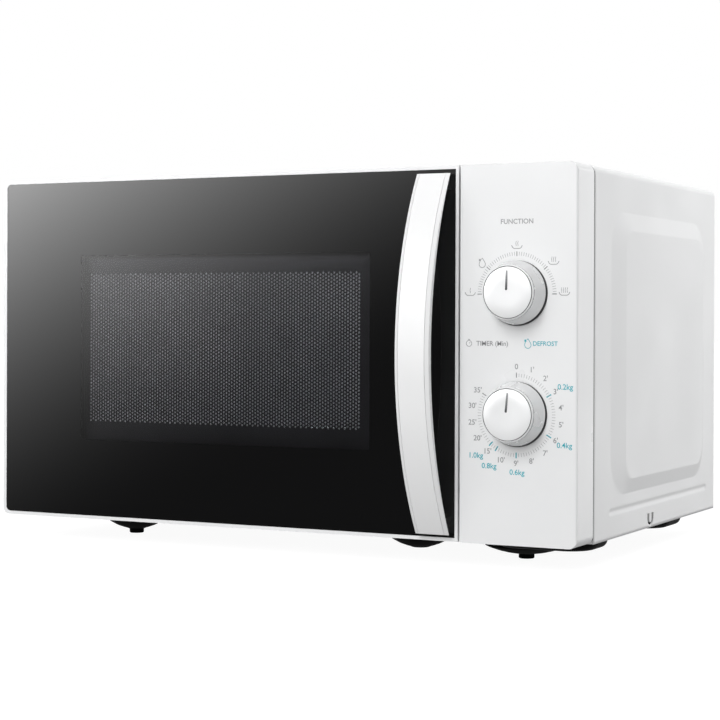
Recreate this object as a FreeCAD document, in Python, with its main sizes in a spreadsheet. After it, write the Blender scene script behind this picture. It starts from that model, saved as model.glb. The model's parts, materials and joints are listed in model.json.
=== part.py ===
import FreeCAD, Part
import math
import os
import Sketcher

# Countertop microwave oven with a side-hinged door and two turning dials.
# Frame: +X to the right of a person facing the door, +Y to the back, +Z up.
# Origin: middle of the whole oven's footprint, at the height of the worktop.
# Inside the functions, x runs from the cabinet's left side, y back from the
# door's front plane and z up from the cabinet's lower edge.

DRIVING = {
    # cabinet
    "body_width": 440.0,
    "body_height": 240.5,
    "body_depth": 300.0,
    "foot_height": 17.5,
    "sheet_wall": 1.0,
    "frame_face": 30.0,
    "casing_round": 4.5,
    "rear_flange": 13.0,
    "emboss_height": 2.0,
    "screw_head": 1.2,
    # door
    "door_width": 359.6,
    "door_thickness": 28.5,
    "door_wall": 2.5,
    "door_corner": 5.0,
    "door_back_round": 7.0,
    "glass_thickness": 3.5,
    "window_left": 67.7,
    "window_right": 296.2,
    "window_low": 56.0,
    "window_high": 186.0,
    "handle_left": 332.3,
    "handle_width": 23.5,
    "handle_low": 4.8,
    "handle_high": 235.2,
    "handle_reach": 38.0,
    "handle_bow": 31.8,
    "handle_bar": 5.3,
    "handle_bevel": 2.3,
    "hinge_across": 7.5,
    "hinge_behind": 17.5,
    "hinge_pin": 2.5,
    "latch_across": 348.0,
    "latch_low": 62.0,
    "latch_high": 188.0,
    "latch_lift": 4.0,
    # controls
    "panel_gap": 1.3,
    "panel_depth": 29.5,
    "panel_wall": 2.5,
    "panel_corner": 5.5,
    "dial_across": 399.6,
    "function_height": 159.1,
    "timer_height": 83.0,
    "knob_radius": 20.2,
    "knob_shoulder": 17.7,
    "knob_cap": 16.6,
    "knob_length": 15.5,
    "dial_shaft": 3.0,
    "function_rest": 2.0,
    "timer_rest": 5.0,
    # oven
    "cavity_left": 22.0,
    "cavity_floor": 26.0,
    "cavity_width": 315.0,
    "cavity_height": 196.0,
    "cavity_depth": 262.0,
    "cavity_wall": 0.8,
    "cavity_round": 10.0,
    "tray_radius": 122.5,
    "roller_radius": 7.5,
    "roller_track": 95.5,
    "roller_width": 7.0,
    # cooling and power
    "fan_across": 389.0,
    "fan_height": 167.0,
    "fan_radius": 40.0,
    "feed_behind": 205.0,
    # feet
    "foot_across": 64.0,
    "foot_front": 77.0,
    "foot_rear": 257.0,
    "foot_pad": 5.3,
    "foot_root": 28.0,
    "foot_depth": 14.5,
    "step_depth": 6.4,
    # fits
    "running_gap": 0.05,
    "moving_gap": 0.3,
}

os.makedirs("parts", exist_ok=True)
document = FreeCAD.newDocument("MicrowaveOven")
sheet = document.addObject("Spreadsheet::Sheet", "Dims")
for row, (word, number) in enumerate(DRIVING.items(), start=1):
    sheet.set(f"A{row}", word)
    sheet.set(f"B{row}", str(number))
    sheet.setAlias(f"B{row}", word)
document.recompute()


class Size:
    """A length that carries its number and the spreadsheet expression behind it."""

    def __init__(self, value, text):
        self.value = float(value)
        self.text = text

    def __add__(self, other):
        other = size(other)
        return Size(self.value + other.value, f"({self.text} + {other.text})")

    def __sub__(self, other):
        other = size(other)
        return Size(self.value - other.value, f"({self.text} - {other.text})")

    def __mul__(self, other):
        other = size(other)
        return Size(self.value * other.value, f"({self.text} * {other.text})")

    def __truediv__(self, other):
        other = size(other)
        return Size(self.value / other.value, f"({self.text} / {other.text})")

    def __radd__(self, other):
        return size(other) + self

    def __rsub__(self, other):
        return size(other) - self

    def __rmul__(self, other):
        return size(other) * self

    def __neg__(self):
        return size(0) - self


def size(thing):
    return thing if isinstance(thing, Size) else Size(thing, f"({float(thing)!r})")


def dim(word):
    return Size(sheet.get(word), f"Dims.{word}")


# The sheet's cells under their own names
body_width = dim("body_width")
body_height = dim("body_height")
body_depth = dim("body_depth")
foot_height = dim("foot_height")
sheet_wall = dim("sheet_wall")
frame_face = dim("frame_face")
door_width = dim("door_width")
door_thickness = dim("door_thickness")
door_wall = dim("door_wall")
glass_thickness = dim("glass_thickness")
handle_low = dim("handle_low")
handle_high = dim("handle_high")
handle_reach = dim("handle_reach")
hinge_across = dim("hinge_across")
hinge_behind = dim("hinge_behind")
hinge_pin = dim("hinge_pin")
latch_across = dim("latch_across")
latch_lift = dim("latch_lift")
dial_across = dim("dial_across")
dial_shaft = dim("dial_shaft")
cavity_left = dim("cavity_left")
cavity_floor = dim("cavity_floor")
cavity_depth = dim("cavity_depth")
cavity_wall = dim("cavity_wall")
fan_across = dim("fan_across")
fan_height = dim("fan_height")
feed_behind = dim("feed_behind")
roller_radius = dim("roller_radius")
roller_track = dim("roller_track")
running_gap = dim("running_gap")
moving_gap = dim("moving_gap")

# Places that follow from them
screw_head = dim("screw_head")
depth_middle = (body_depth + screw_head - handle_reach) / 2
cabinet_origin = (-body_width / 2, -depth_middle, foot_height)
cavity_right = cavity_left + dim("cavity_width")
cavity_top = cavity_floor + dim("cavity_height")
cavity_back = frame_face + sheet_wall + cavity_depth
bay_left = cavity_right + cavity_wall
panel_left = door_width + dim("panel_gap")
rear_inside = body_depth - sheet_wall
rear_panel_face = rear_inside - 0.1
tray_across = cavity_left + dim("cavity_width") / 2
tray_behind = frame_face + sheet_wall + cavity_depth / 2
roller_height = cavity_floor + roller_radius + moving_gap
tray_height = roller_height + roller_radius + moving_gap
glass_front = size(0.3)
screw_hole = 2.0
screw_across = dim("handle_left") + dim("handle_width") / 2
screw_heights = (handle_low + 5.2, handle_high - 5.2)

gland_across = size(404)
gland_height = size(42)
dial_heights = (dim("function_height"), dim("timer_height"))
latch_heights = (dim("latch_low"), dim("latch_high"))
step_across = (size(366), size(435))
step_rows = ((size(33), size(88)), (size(184), size(246)))

AXES = {
    "x": FreeCAD.Rotation(FreeCAD.Vector(0, 1, 0), 90),
    "y": FreeCAD.Rotation(FreeCAD.Vector(1, 0, 0), -90),
    "z": FreeCAD.Rotation(),
}
sub_parts = []


def place(thing, where):
    """Binds a shape's base point to a place given in the cabinet's x, y, z."""
    for letter, along, start in zip("xyz", where, cabinet_origin):
        thing.setExpression(f"Placement.Base.{letter}", (start + along).text)


def block(x, y, z):
    box = document.addObject("Part::Box", "block")
    for name, (low, high) in (("Length", x), ("Width", y), ("Height", z)):
        box.setExpression(name, (size(high) - low).text)
    place(box, (x[0], y[0], z[0]))
    document.recompute([box])
    return box


def rod(axis, at, radius, length):
    """A cylinder that starts at a place and runs along +axis."""
    cylinder = document.addObject("Part::Cylinder", "rod")
    cylinder.setExpression("Radius", size(radius).text)
    cylinder.setExpression("Height", size(length).text)
    cylinder.Placement.Rotation = AXES[axis]
    place(cylinder, at)
    return cylinder


def taper(axis, at, start_radius, end_radius, length):
    cone = document.addObject("Part::Cone", "taper")
    cone.setExpression("Radius1", size(start_radius).text)
    cone.setExpression("Radius2", size(end_radius).text)
    cone.setExpression("Height", size(length).text)
    cone.Placement.Rotation = AXES[axis]
    place(cone, at)
    return cone


def ball(at, radius):
    sphere = document.addObject("Part::Sphere", "ball")
    sphere.setExpression("Radius", size(radius).text)
    place(sphere, at)
    return sphere


def fuse(*pieces):
    joined = document.addObject("Part::MultiFuse", "joined")
    joined.Shapes = list(pieces)
    return joined


def gather(*pieces):
    """Separate solids that share one node."""
    group = document.addObject("Part::Compound", "group")
    group.Links = list(pieces)
    return group


def cut(base, *tools):
    remains = document.addObject("Part::Cut", "cut")
    remains.Base = base
    remains.Tool = tools[0] if len(tools) == 1 else gather(*tools)
    return remains


def common(first, second):
    both = document.addObject("Part::Common", "both")
    both.Base = first
    both.Tool = second
    return both


def tube(axis, at, outer, inner, length):
    return cut(rod(axis, at, outer, length), rod(axis, at, inner, length))


def round_edges(solid, rule):
    """Rounds each edge for which rule(middle, direction) gives a radius."""
    document.recompute()
    origin = FreeCAD.Vector(*[start.value for start in cabinet_origin])
    chosen = []
    for number, edge in enumerate(solid.Shape.Edges, start=1):
        middle = (edge.Vertexes[0].Point + edge.Vertexes[-1].Point) / 2 - origin
        run = edge.Vertexes[-1].Point - edge.Vertexes[0].Point
        direction = "xyz"[max(range(3), key=lambda k: abs(run[k]))]
        radius = rule(middle, direction)
        if radius:
            chosen.append((number, radius, radius))
    rounded = document.addObject("Part::Fillet", "rounded")
    rounded.Base = solid
    rounded.Edges = chosen
    document.recompute()
    return rounded


def finish(label, thing):
    thing.Label = label
    sub_parts.append(thing)
    return thing


def turned(label, outline, axis, at, spin=0.0):
    """A PartDesign body revolved about its own Z, which then points along axis.

    The outline is (radius, height) pairs going round the section.
    """
    body = document.addObject("PartDesign::Body", label)
    sketch = body.newObject("Sketcher::SketchObject", "section")
    plane = [one for one in body.Origin.OriginFeatures if one.Role == "XZ_Plane"][0]
    sketch.AttachmentSupport = [(plane, "")]
    sketch.MapMode = "FlatFace"
    outline_sketch(sketch, outline)
    solid = body.newObject("PartDesign::Revolution", "turning")
    solid.Profile = sketch
    solid.ReferenceAxis = (sketch, ["V_Axis"])
    solid.Angle = 360
    document.recompute()
    about_own_axis = FreeCAD.Rotation(FreeCAD.Vector(0, 0, 1), spin)
    body.Placement.Rotation = axis.multiply(about_own_axis)
    place(body, at)
    return body


def outline_sketch(sketch, corners):
    """Closes straight lines through the corners, each tied to the sheet."""
    corners = [(size(across), size(up)) for across, up in corners]
    points = [FreeCAD.Vector(across.value, up.value, 0) for across, up in corners]
    count = len(points)
    for number in range(count):
        following = points[(number + 1) % count]
        sketch.addGeometry(Part.LineSegment(points[number], following), False)
    for number in range(count):
        join = Sketcher.Constraint("Coincident", number, 2, (number + 1) % count, 1)
        sketch.addConstraint(join)
    for number, (across, up) in enumerate(corners):
        for kind, length in (("DistanceX", across), ("DistanceY", up)):
            tie = Sketcher.Constraint(kind, -1, 1, number, 1, length.value)
            index = sketch.addConstraint(tie)
            sketch.setExpression(f"Constraints[{index}]", length.text)


FACING_FRONT = FreeCAD.Rotation(FreeCAD.Vector(1, 0, 0), 90)
FACING_UP = FreeCAD.Rotation()


# ---------------------------------------------------------------- cabinet

def casing():
    """Sheet-steel wrap: top, both sides and a flange round the back."""
    outer = casing_block(sheet_wall * 0)
    inner = casing_block(sheet_wall)
    flange = dim("rear_flange")
    mouth = block(
        (flange, body_width - flange),
        (body_depth - 5, body_depth + 5),
        (-5, body_height - flange),
    )
    groove_depth = 2
    swells = [swell(side, 0.0) for side in (-1, 1)]
    hollows = [swell(side, sheet_wall.value) for side in (-1, 1)]
    beads = [bead(side, sheet_wall + groove_depth) for side in (-1, 1)]
    grooves = [bead(side, size(groove_depth)) for side in (-1, 1)]
    shell = cut(fuse(cut(outer, inner), *swells), *hollows)
    inside = block((0.2, body_width - 0.2), (frame_face + 1, body_depth - 5), (5, 40))
    ribs = common(fuse(*beads), inside)
    screw_holes = [
        rod("y", (across, body_depth - 5, up), screw_hole, 10) for across, up in rear_screw_places()
    ]
    solid = cut(fuse(shell, ribs), mouth, *grooves, *screw_holes, *vent_tongues())
    return finish("casing", solid)


def casing_block(inset):
    """The wrap's outer (inset 0) or inner (inset one wall) surface as a block."""
    through = 0 if inset.value == 0 else 10
    box = block(
        (inset, body_width - inset),
        (frame_face - through, body_depth - inset),
        (-through, body_height - inset),
    )
    long_round = dim("casing_round").value - inset.value
    back_round = 6.5 - inset.value
    side_round = 3.0 - inset.value
    top = body_height.value - inset.value
    back = body_depth.value - inset.value

    def rule(middle, direction):
        at_top = abs(middle.z - top) < 0.01
        at_back = abs(middle.y - back) < 0.01
        if direction == "y" and at_top:
            return long_round
        if direction == "x" and at_top and at_back:
            return back_round
        if direction == "z" and at_back:
            return side_round
        return 0

    return round_edges(box, rule)


def swell(side, depth):
    """Shallow raised rectangle pressed out of a side wall, rounded at its corners."""
    near, far, low, high = 62.5, 268.0, 27.3, 213.0
    near_slope, far_slope, low_slope, high_slope = 24.5, 8.0, 9.7, 12.0
    low_corner, high_corner = 12.0, 20.0
    heights = (low, high, low + low_slope, high - high_slope)
    turn = FreeCAD.Rotation(FreeCAD.Vector(0, 0, 1), 90)
    if side > 0:
        heights = (-high, -low, high_slope - high, -low_slope - low)
        turn = turn.multiply(FreeCAD.Rotation(FreeCAD.Vector(1, 0, 0), 180))
    raised = document.addObject("Part::Wedge", "swell")
    raised.Xmin = near
    raised.Xmax = far
    raised.Ymin = -0.5
    raised.setExpression("Ymax", "Dims.emboss_height")
    raised.Zmin, raised.Zmax, raised.Z2min, raised.Z2max = heights
    raised.X2min = near + near_slope
    raised.X2max = far - far_slope
    document.recompute()
    corners = []
    for number, edge in enumerate(raised.Shape.Edges, start=1):
        start, end = edge.Vertexes[0].Point, edge.Vertexes[-1].Point
        if abs(start.y - end.y) > 1:
            radius = high_corner if abs(start.z) > 100 else low_corner
            corners.append((number, radius, radius))
    rounded = document.addObject("Part::Fillet", "rounded_swell")
    rounded.Base = raised
    rounded.Edges = corners
    rounded.Placement.Rotation = turn
    place(rounded, (size(depth) if side < 0 else body_width - depth, 0, 0))
    return rounded


def bead(side, radius):
    """Long round-ended bead low on a side wall, centred on the wall's outer face."""
    start, end, up = 62.0, 274.0, 17.5
    across = size(0) if side < 0 else body_width
    bar = rod("y", (across, start, up), radius, end - start)
    ends = [ball((across, behind, up), radius) for behind in (start, end)]
    return fuse(bar, *ends)


def vent_tongues():
    """U-shaped slits that free a small tongue low on each side wall."""
    behind, low, straight, slit = 142.0, 6.5, 4.0, 1.0
    half = 3.6
    slits = []
    for across in (size(-2), body_width - 2):
        loop = tube("x", (across, behind, low), half, half - slit, 4)
        upper = block((across - 1, across + 5), (behind - 5, behind + 5), (low, low + 6))
        legs = [
            block((across, across + 4), (start, start + slit), (low, low + straight))
            for start in (behind - half, behind + half - slit)
        ]
        slits += [cut(loop, upper), *legs]
    return slits


def rear_screw_places():
    sides = [(across, up) for across in (7.5, 432.5) for up in (14.0, 120.0)]
    return sides + [(40.0, 231.0), (220.0, 231.0), (400.0, 231.0)]


def rear_screws():
    """Pan-head screws that hold the casing's flange to the rear panel."""
    screws = []
    for across, up in rear_screw_places():
        shank = rod("y", (across, rear_inside - 8, up), 1.9, 9.0)
        crown = taper("y", (across, body_depth, up), 3.6, 3.0, screw_head)
        screws.append(fuse(shank, crown))
    return finish("rear_screws", gather(*screws))


def rear_panel():
    """Galvanised back sheet with air slots and the hole for the power cord."""
    plate = block(
        (4.5, body_width - 4.5), (rear_panel_face - sheet_wall, rear_panel_face), (1.2, 233.5)
    )
    holes = [rod("y", (across, 290, up), screw_hole, 12) for across, up in rear_screw_places()]
    holes.append(rod("y", (gland_across, 290, gland_height), 8.0, 12))
    slots = slot_grid((fan_across - 38, fan_height - 36), 4, 10, 20.0, 7.5)
    slots += slot_grid((size(52), size(172)), 4, 5, 20.0, 9.0)
    return finish("rear_panel", cut(plate, *holes, *slots))


def slot_grid(corner, columns, rows, pitch, rise):
    """Air slots through the back sheet, 15 mm long and 3 mm high."""
    slots = []
    for column in range(columns):
        for row in range(rows):
            across = corner[0] + column * pitch
            up = corner[1] + row * rise
            slots.append(block((across, across + 15), (290, 302), (up, up + 3)))
    return slots


def cord_gland():
    """Snap-in plastic bush that the power cord passes through."""
    across, up = gland_across, gland_height
    cord_bore = 3.6
    body = rod("y", (across, rear_panel_face - 14, up), 7.9, 14)
    rim = rod("y", (across, rear_panel_face, up), 10.5, 1)
    lip = rod("y", (across, rear_panel_face - sheet_wall - 1.5, up), 9.0, 1.5)
    bore = rod("y", (across, 270, up), cord_bore, 40)
    return finish("cord_gland", cut(fuse(body, rim, lip), bore))


def front_frame():
    """Painted steel face behind the door, with the oven mouth and control cut-out."""
    plate = block(
        (1.2, body_width - 1.2), (frame_face, frame_face + sheet_wall), (0.2, body_height - 1.2)
    )

    def top_corners(middle, direction):
        return 4.0 if direction == "y" and middle.z > 200 else 0

    mouth = rounded_room(cavity_left, cavity_right, cavity_floor, cavity_top, 10, 60)
    controls = block((366, 434), (20, 40), (20, 220))
    slots = [block((342, 355.5), (20, 40), (up - 6, up + 10)) for up in latch_heights]
    return finish("front_frame", cut(round_edges(plate, top_corners), mouth, controls, *slots))


def rounded_room(left, right, low, high, near, far, back_too=False, radius=None):
    """A block whose long edges, and back edges if asked, are rounded."""
    radius = dim("cavity_round").value if radius is None else radius
    room = block((left, right), (near, far), (low, high))
    far_value = size(far).value

    def rule(middle, direction):
        at_back = abs(middle.y - far_value) < 0.01
        return radius if direction == "y" or (back_too and at_back) else 0

    return round_edges(room, rule)


def oven_cavity():
    """Enamelled steel box that holds the food, open to the front."""
    start = frame_face + sheet_wall
    wall = cavity_wall
    outer = rounded_room(
        cavity_left - wall,
        bay_left,
        cavity_floor - wall,
        cavity_top + wall,
        start,
        cavity_back + wall,
        True,
        dim("cavity_round").value + wall.value,
    )
    inner = rounded_room(
        cavity_left, cavity_right, cavity_floor, cavity_top, start - 40, cavity_back, True
    )
    drive_hole = rod("z", (tray_across, tray_behind, cavity_floor - 5), 8.0, 10)
    feed = block((cavity_right - 3, bay_left + 3), (130, 200), (142, 182))
    lamp_slots = [
        block((cavity_right - 3, bay_left + 3), (start, start + 3), (190, 208))
        for start in (97, 102, 107, 112)
    ]
    steam_slots = [
        block((cavity_left - 3, cavity_left + 3), (start, start + 3), (188, 206))
        for start in range(200, 240, 6)
    ]
    return finish("oven_cavity", cut(outer, inner, drive_hole, feed, *lamp_slots, *steam_slots))


def wave_cover():
    """Mica sheet over the port where the microwaves enter."""
    return finish(
        "wave_cover", block((cavity_right - 1.0, cavity_right - 0.2), (122, 208), (134, 190))
    )


def waveguide():
    """Steel channel that carries the microwaves from the magnetron to the port."""
    left, right = bay_left + 0.1, bay_left + 17.1
    outer = block((left, right), (98, 236), (136, 188))
    inner = block((left - 1, right - sheet_wall), (99, 235), (137, 187))
    feed_hole = rod("x", (right - 5, feed_behind, fan_height), 9.0, 10)
    return finish("waveguide", cut(outer, inner, feed_hole))


magnetron_left = bay_left + 17.3
magnetron_right = bay_left + 60.0


def magnetron_frame():
    """Steel box round the magnetron, open front and back for the cooling air."""
    wall = 1.2
    outer = block((magnetron_left, magnetron_right), (165, 245), (127, 207))
    inner = block((magnetron_left + wall, magnetron_right - wall), (164, 246), (128.2, 205.8))
    feed_hole = rod("x", (magnetron_left - 2, feed_behind, fan_height), 9.0, 5)
    rear_hole = rod("x", (magnetron_right - 3, feed_behind, fan_height), 15.0, 6)
    return finish("magnetron_frame", cut(outer, inner, feed_hole, rear_hole))


def magnetron_tube():
    """Copper anode with the antenna that reaches into the waveguide."""
    start = magnetron_left + 1.4
    anode = rod("x", (start, feed_behind, fan_height), 17.0, magnetron_right - 1.5 - start)
    antenna = rod("x", (bay_left + 6, feed_behind, fan_height), 7.0, start - bay_left - 5)
    return finish("magnetron_tube", fuse(anode, antenna))


def magnetron_fins():
    """Thin aluminium plates pressed onto the anode."""
    fins = []
    for number in range(8):
        left = magnetron_left + 4 + number * 4.6
        plate = block((left, left + 0.6), (168, 242), (128.6, 205.4))
        fins.append(cut(plate, rod("x", (left - 1, feed_behind, fan_height), 17.05, 3)))
    return finish("magnetron_fins", gather(*fins))


def magnetron_filter():
    """Shielded box of chokes on the magnetron's heater terminals."""
    box = block((magnetron_right + 0.1, magnetron_right + 26), (185, 225), (147, 187))
    return finish("magnetron_filter", box)


def thermal_cutout():
    """Disc thermostat on the magnetron."""
    disc = rod("z", (magnetron_left + 20, 190, 207), 8.0, 6)
    ears = block((magnetron_left + 8, magnetron_left + 32), (186, 194), (207, 208))
    blades = [
        block((magnetron_left + x, magnetron_left + x + 0.8), (187, 193), (212, 220))
        for x in (15, 24)
    ]
    return finish("thermal_cutout", fuse(disc, ears, *blades))


def transformer_core():
    """Laminated iron core with two windows beside its middle leg."""
    core = block((346, 430), (180, 235), (sheet_wall, sheet_wall + 70))
    windows = [block((left, left + 14), (170, 245), (15, 57)) for left in (360, 402)]
    return finish("transformer_core", cut(core, *windows))


def transformer_winding():
    """Primary and secondary coils wound round the core's middle leg."""
    outer = block((360.4, 415.6), (168, 247), (15.4, 56.6))

    def corners(middle, direction):
        return 7.0 if direction == "z" else 0

    leg = block((373.6, 402.4), (179.6, 235.4), (10, 60))
    return finish("transformer_winding", cut(round_edges(outer, corners), leg))


def oval_can(near, far, grow):
    """An oval can lying along y, grown all round by a clearance."""
    low, high = 5.0, 37.0
    radius = (high - low) / 2 + grow
    middles = (394.0, 414.0)
    up = (low + high) / 2
    ends = [rod("y", (across, near, up), radius, far - near) for across in middles]
    return fuse(*ends, block(middles, (near, far), (up - radius, up + radius)))


def capacitor():
    """Oil-filled high-voltage capacitor with two blade terminals."""
    can = oval_can(85.0, 165.0, 0.0)
    blades = [
        block((across, across + 6), (77, 85), (20.6, 21.4)) for across in (393, 409)
    ]
    return finish("capacitor", fuse(can, *blades))


def capacitor_clamp():
    """Steel strap that holds the capacitor to the base."""
    band = cut(oval_can(118.0, 132.0, 1.1), oval_can(117.0, 133.0, 0.1))
    tab = block((365, 378.5), (118, 132), (sheet_wall, sheet_wall + 1.2))
    riser = block((377.3, 378.5), (118, 132), (sheet_wall, 21))
    return finish("capacitor_clamp", fuse(band, cut(riser, oval_can(117.0, 133.0, 0.5)), tab))


def high_voltage_diode():
    """Rectifier on a screw tab beside the capacitor."""
    tab = block((352, 362), (88, 98), (sheet_wall, sheet_wall + 1))
    post = block((355, 357), (90, 96), (sheet_wall, 10))
    barrel = rod("y", (356, 86, 12), 4.0, 22)
    return finish("high_voltage_diode", fuse(tab, post, barrel))


def fan_shroud():
    """Plastic plate and collar round the fan."""
    plate = block((345, 433), (263, 264.4), (122, 212))
    collar = rod("y", (fan_across, 246, fan_height), 43.6, 17.4)
    throat = rod("y", (fan_across, 240, fan_height), 42.2, 30)
    feet = [
        block((across, across + 6), (264.4, rear_panel_face - sheet_wall), (up, up + 6))
        for across in (346, 426)
        for up in (124, 204)
    ]
    return finish("fan_shroud", fuse(cut(fuse(plate, collar), throat), *feet))


def fan_motor():
    """Shaded-pole motor on two posts from the back sheet."""
    core = block((359, 419), (268, 284), (151, 183))
    cap = rod("y", (fan_across, 265.4, fan_height), 13.0, 22)
    bore = rod("y", (fan_across, 260, fan_height), 2.0 + running_gap, 26)
    posts = [
        rod("y", (across, 284, fan_height), 3.0, rear_panel_face - sheet_wall - 284)
        for across in (364, 414)
    ]
    return finish("fan_motor", fuse(cut(fuse(core, cap), bore), *posts))


def fan_blade():
    """Five-bladed plastic impeller on its steel-cored hub and shaft."""
    hub = rod("y", (fan_across, 249, fan_height), 10.0, 13)
    shaft = rod("y", (fan_across, 255, fan_height), 2.0, 30)
    vanes = []
    for number in range(5):
        vane = document.addObject("Part::Box", "vane")
        vane.setExpression("Length", "Dims.fan_radius - 8")
        vane.Width = 1.4
        vane.Height = 26
        lean = FreeCAD.Rotation(FreeCAD.Vector(1, 0, 0), 62)
        turn = FreeCAD.Rotation(FreeCAD.Vector(0, 1, 0), 72 * number)
        vane.Placement.Rotation = turn.multiply(lean)
        root = turn.multVec(FreeCAD.Vector(8, 12.4, -6))
        place(vane, (fan_across + root.x, 249 + root.y, fan_height + root.z))
        vanes.append(vane)
    swept = common(fuse(*vanes), rod("y", (fan_across, 246, fan_height), dim("fan_radius"), 17))
    return finish("fan_blade", fuse(hub, shaft, swept))


def lamp():
    """Oven lamp and its holder, shining through the slots in the cavity's side."""
    holder = block((345, 372), (74, 94), (188, 212))
    finish("lamp_holder", holder)
    bulb = rod("y", (352, 94.1, 199), 9.0, 17)
    return finish("lamp_bulb", fuse(bulb, ball((352, 111.1, 199), 9.0)))


def filter_board():
    """Circuit board with the mains filter's coil and capacitor."""
    board = block((352, 428), (280, 281.6), (76, 116))
    coil = rod("y", (370, 268, 96), 9.0, 12)
    can = block((392, 412), (266, 280), (84, 108))
    clips = [rod("x", (across, 276, 80), 3.4, 4) for across in (352.5, 372.5)]
    legs = [block((across, across + 2), (276, 280), (79, 81)) for across in (353.5, 373.5)]
    posts = [
        rod("y", (across, 281.6, up), 2.5, rear_panel_face - sheet_wall - 281.6)
        for across in (356, 424)
        for up in (80, 112)
    ]
    return finish("filter_board", fuse(board, coil, can, *clips, *legs, *posts))


def line_fuse():
    return finish("line_fuse", rod("x", (356.6, 276, 80), 3.0, 15.8))


def turntable_motor():
    """Slow synchronous motor that hangs under the cavity floor."""
    can = rod("z", (tray_across, tray_behind, 6), 25.0, 17.6)
    ears = block(
        (tray_across - 34, tray_across + 34),
        (tray_behind - 7, tray_behind + 7),
        (23.6, cavity_floor - cavity_wall - 0.1),
    )
    bore = rod("z", (tray_across, tray_behind, 10), 3.0 + running_gap, 20)
    return finish("turntable_motor", cut(fuse(can, ears), bore))


def stamped_step(behind, inset):
    """A rounded step pressed down from the base, or its inside (inset one wall)."""
    low = -dim("step_depth") + inset
    corner, edge = 20.0 - inset.value, 5.0 - inset.value
    box = block(
        (step_across[0] + inset, step_across[1] - inset),
        (behind[0] + inset, behind[1] - inset),
        (low, inset * 2),
    )

    def corners(middle, direction):
        return corner if direction == "z" else 0

    def lower_rim(middle, direction):
        return edge if abs(middle.z - low.value) < 0.01 else 0

    return round_edges(round_edges(box, corners), lower_rim)


def base_plate():
    """Bottom sheet with two stamped steps at the right, foot holes and air slots."""
    flat = block((1.2, body_width - 1.2), (31.2, 297.6), (0, sheet_wall))
    steps = [stamped_step(behind, sheet_wall * 0) for behind in step_rows]
    hollows = [stamped_step(behind, sheet_wall) for behind in step_rows]
    foot_holes = [rod("z", (across, behind, -10), 2.5, 15) for across, behind in foot_places()]
    air_slots = [
        block((left, left + 4), (near, near + 26), (-5, 5))
        for left in range(385, 430, 9)
        for near in (100, 134)
    ]
    return finish("base_plate", cut(fuse(flat, *steps), *hollows, *foot_holes, *air_slots))


def foot_places():
    across = dim("foot_across")
    sides = (across, body_width - across)
    rows = (dim("foot_front"), dim("foot_rear"))
    return [(side, row) for row in rows for side in sides]


def foot_dome(across, behind, curve):
    """Bowl-shaped body of a foot, cleared where a stamped step passes through it."""
    depth = dim("foot_depth")
    bowl = ball((across, behind, curve - depth), curve)
    dome = common(bowl, rod("z", (across, behind, -depth), dim("foot_root"), depth))
    return cut(dome, *[block(step_across, row, (-dim("step_depth"), 1)) for row in step_rows])


def feet():
    """Moulded feet with rubber pads, plugged into the base, and one spare foot body."""
    depth = dim("foot_depth")
    plug_length = 10.0
    curves = (35.0, 70.0, 35.0, 35.0)
    moulded = []
    for (across, behind), curve in zip(foot_places(), curves):
        pad = rod("z", (across, behind, -foot_height), dim("foot_pad"), foot_height - depth + 1)
        plug = rod("z", (across, behind, 2 - plug_length), 2.4, plug_length)
        moulded.append(fuse(foot_dome(across, behind, curve), pad, plug))
    moulded.append(foot_dome(size(298), size(76), 35.0))
    return finish("feet", gather(*moulded))


# ---------------------------------------------------------------- controls

def control_panel():
    """Moulded panel beside the door, hollow behind."""
    wall = dim("panel_wall")
    outer = block((panel_left, body_width), (0, dim("panel_depth")), (0, body_height))
    side_value = body_width.value
    corner = dim("panel_corner").value

    def rule(middle, direction):
        at_side = abs(middle.x - side_value) < 0.01
        if at_side and direction == "y":
            return corner
        return 1.5 if at_side and direction == "z" and middle.y < 1 else 0

    inner = block(
        (panel_left + wall, body_width - wall),
        (wall, dim("panel_depth") + 5),
        (wall, body_height - wall),
    )
    holes = [rod("y", (dial_across, -5, up), 4.0, 10) for up in dial_heights]
    return finish("control_panel", cut(round_edges(outer, rule), inner, *holes))


def switch_body(label, up, half, length):
    """A dial's switch body, with a bore that its shaft turns in."""
    box = block(
        (dial_across - half, dial_across + half), (2.6, 2.6 + length), (up - half, up + half)
    )

    def corners(middle, direction):
        return 3.0 if direction == "y" else 0

    bore = rod("y", (dial_across, 0, up), dial_shaft + running_gap, 24)
    return finish(label, cut(round_edges(box, corners), bore))


def timer_bell():
    """Bell that the timer strikes when it reaches zero."""
    up = dim("timer_height")
    stem = rod("y", (dial_across, 36.6, up), 3.0, 5)
    dome = taper("y", (dial_across, 41, up), 14.0, 23.0, 9)
    hollow = taper("y", (dial_across, 43, up), 14.0, 22.4, 8.5)
    return finish("timer_bell", cut(fuse(stem, dome), hollow))


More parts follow.
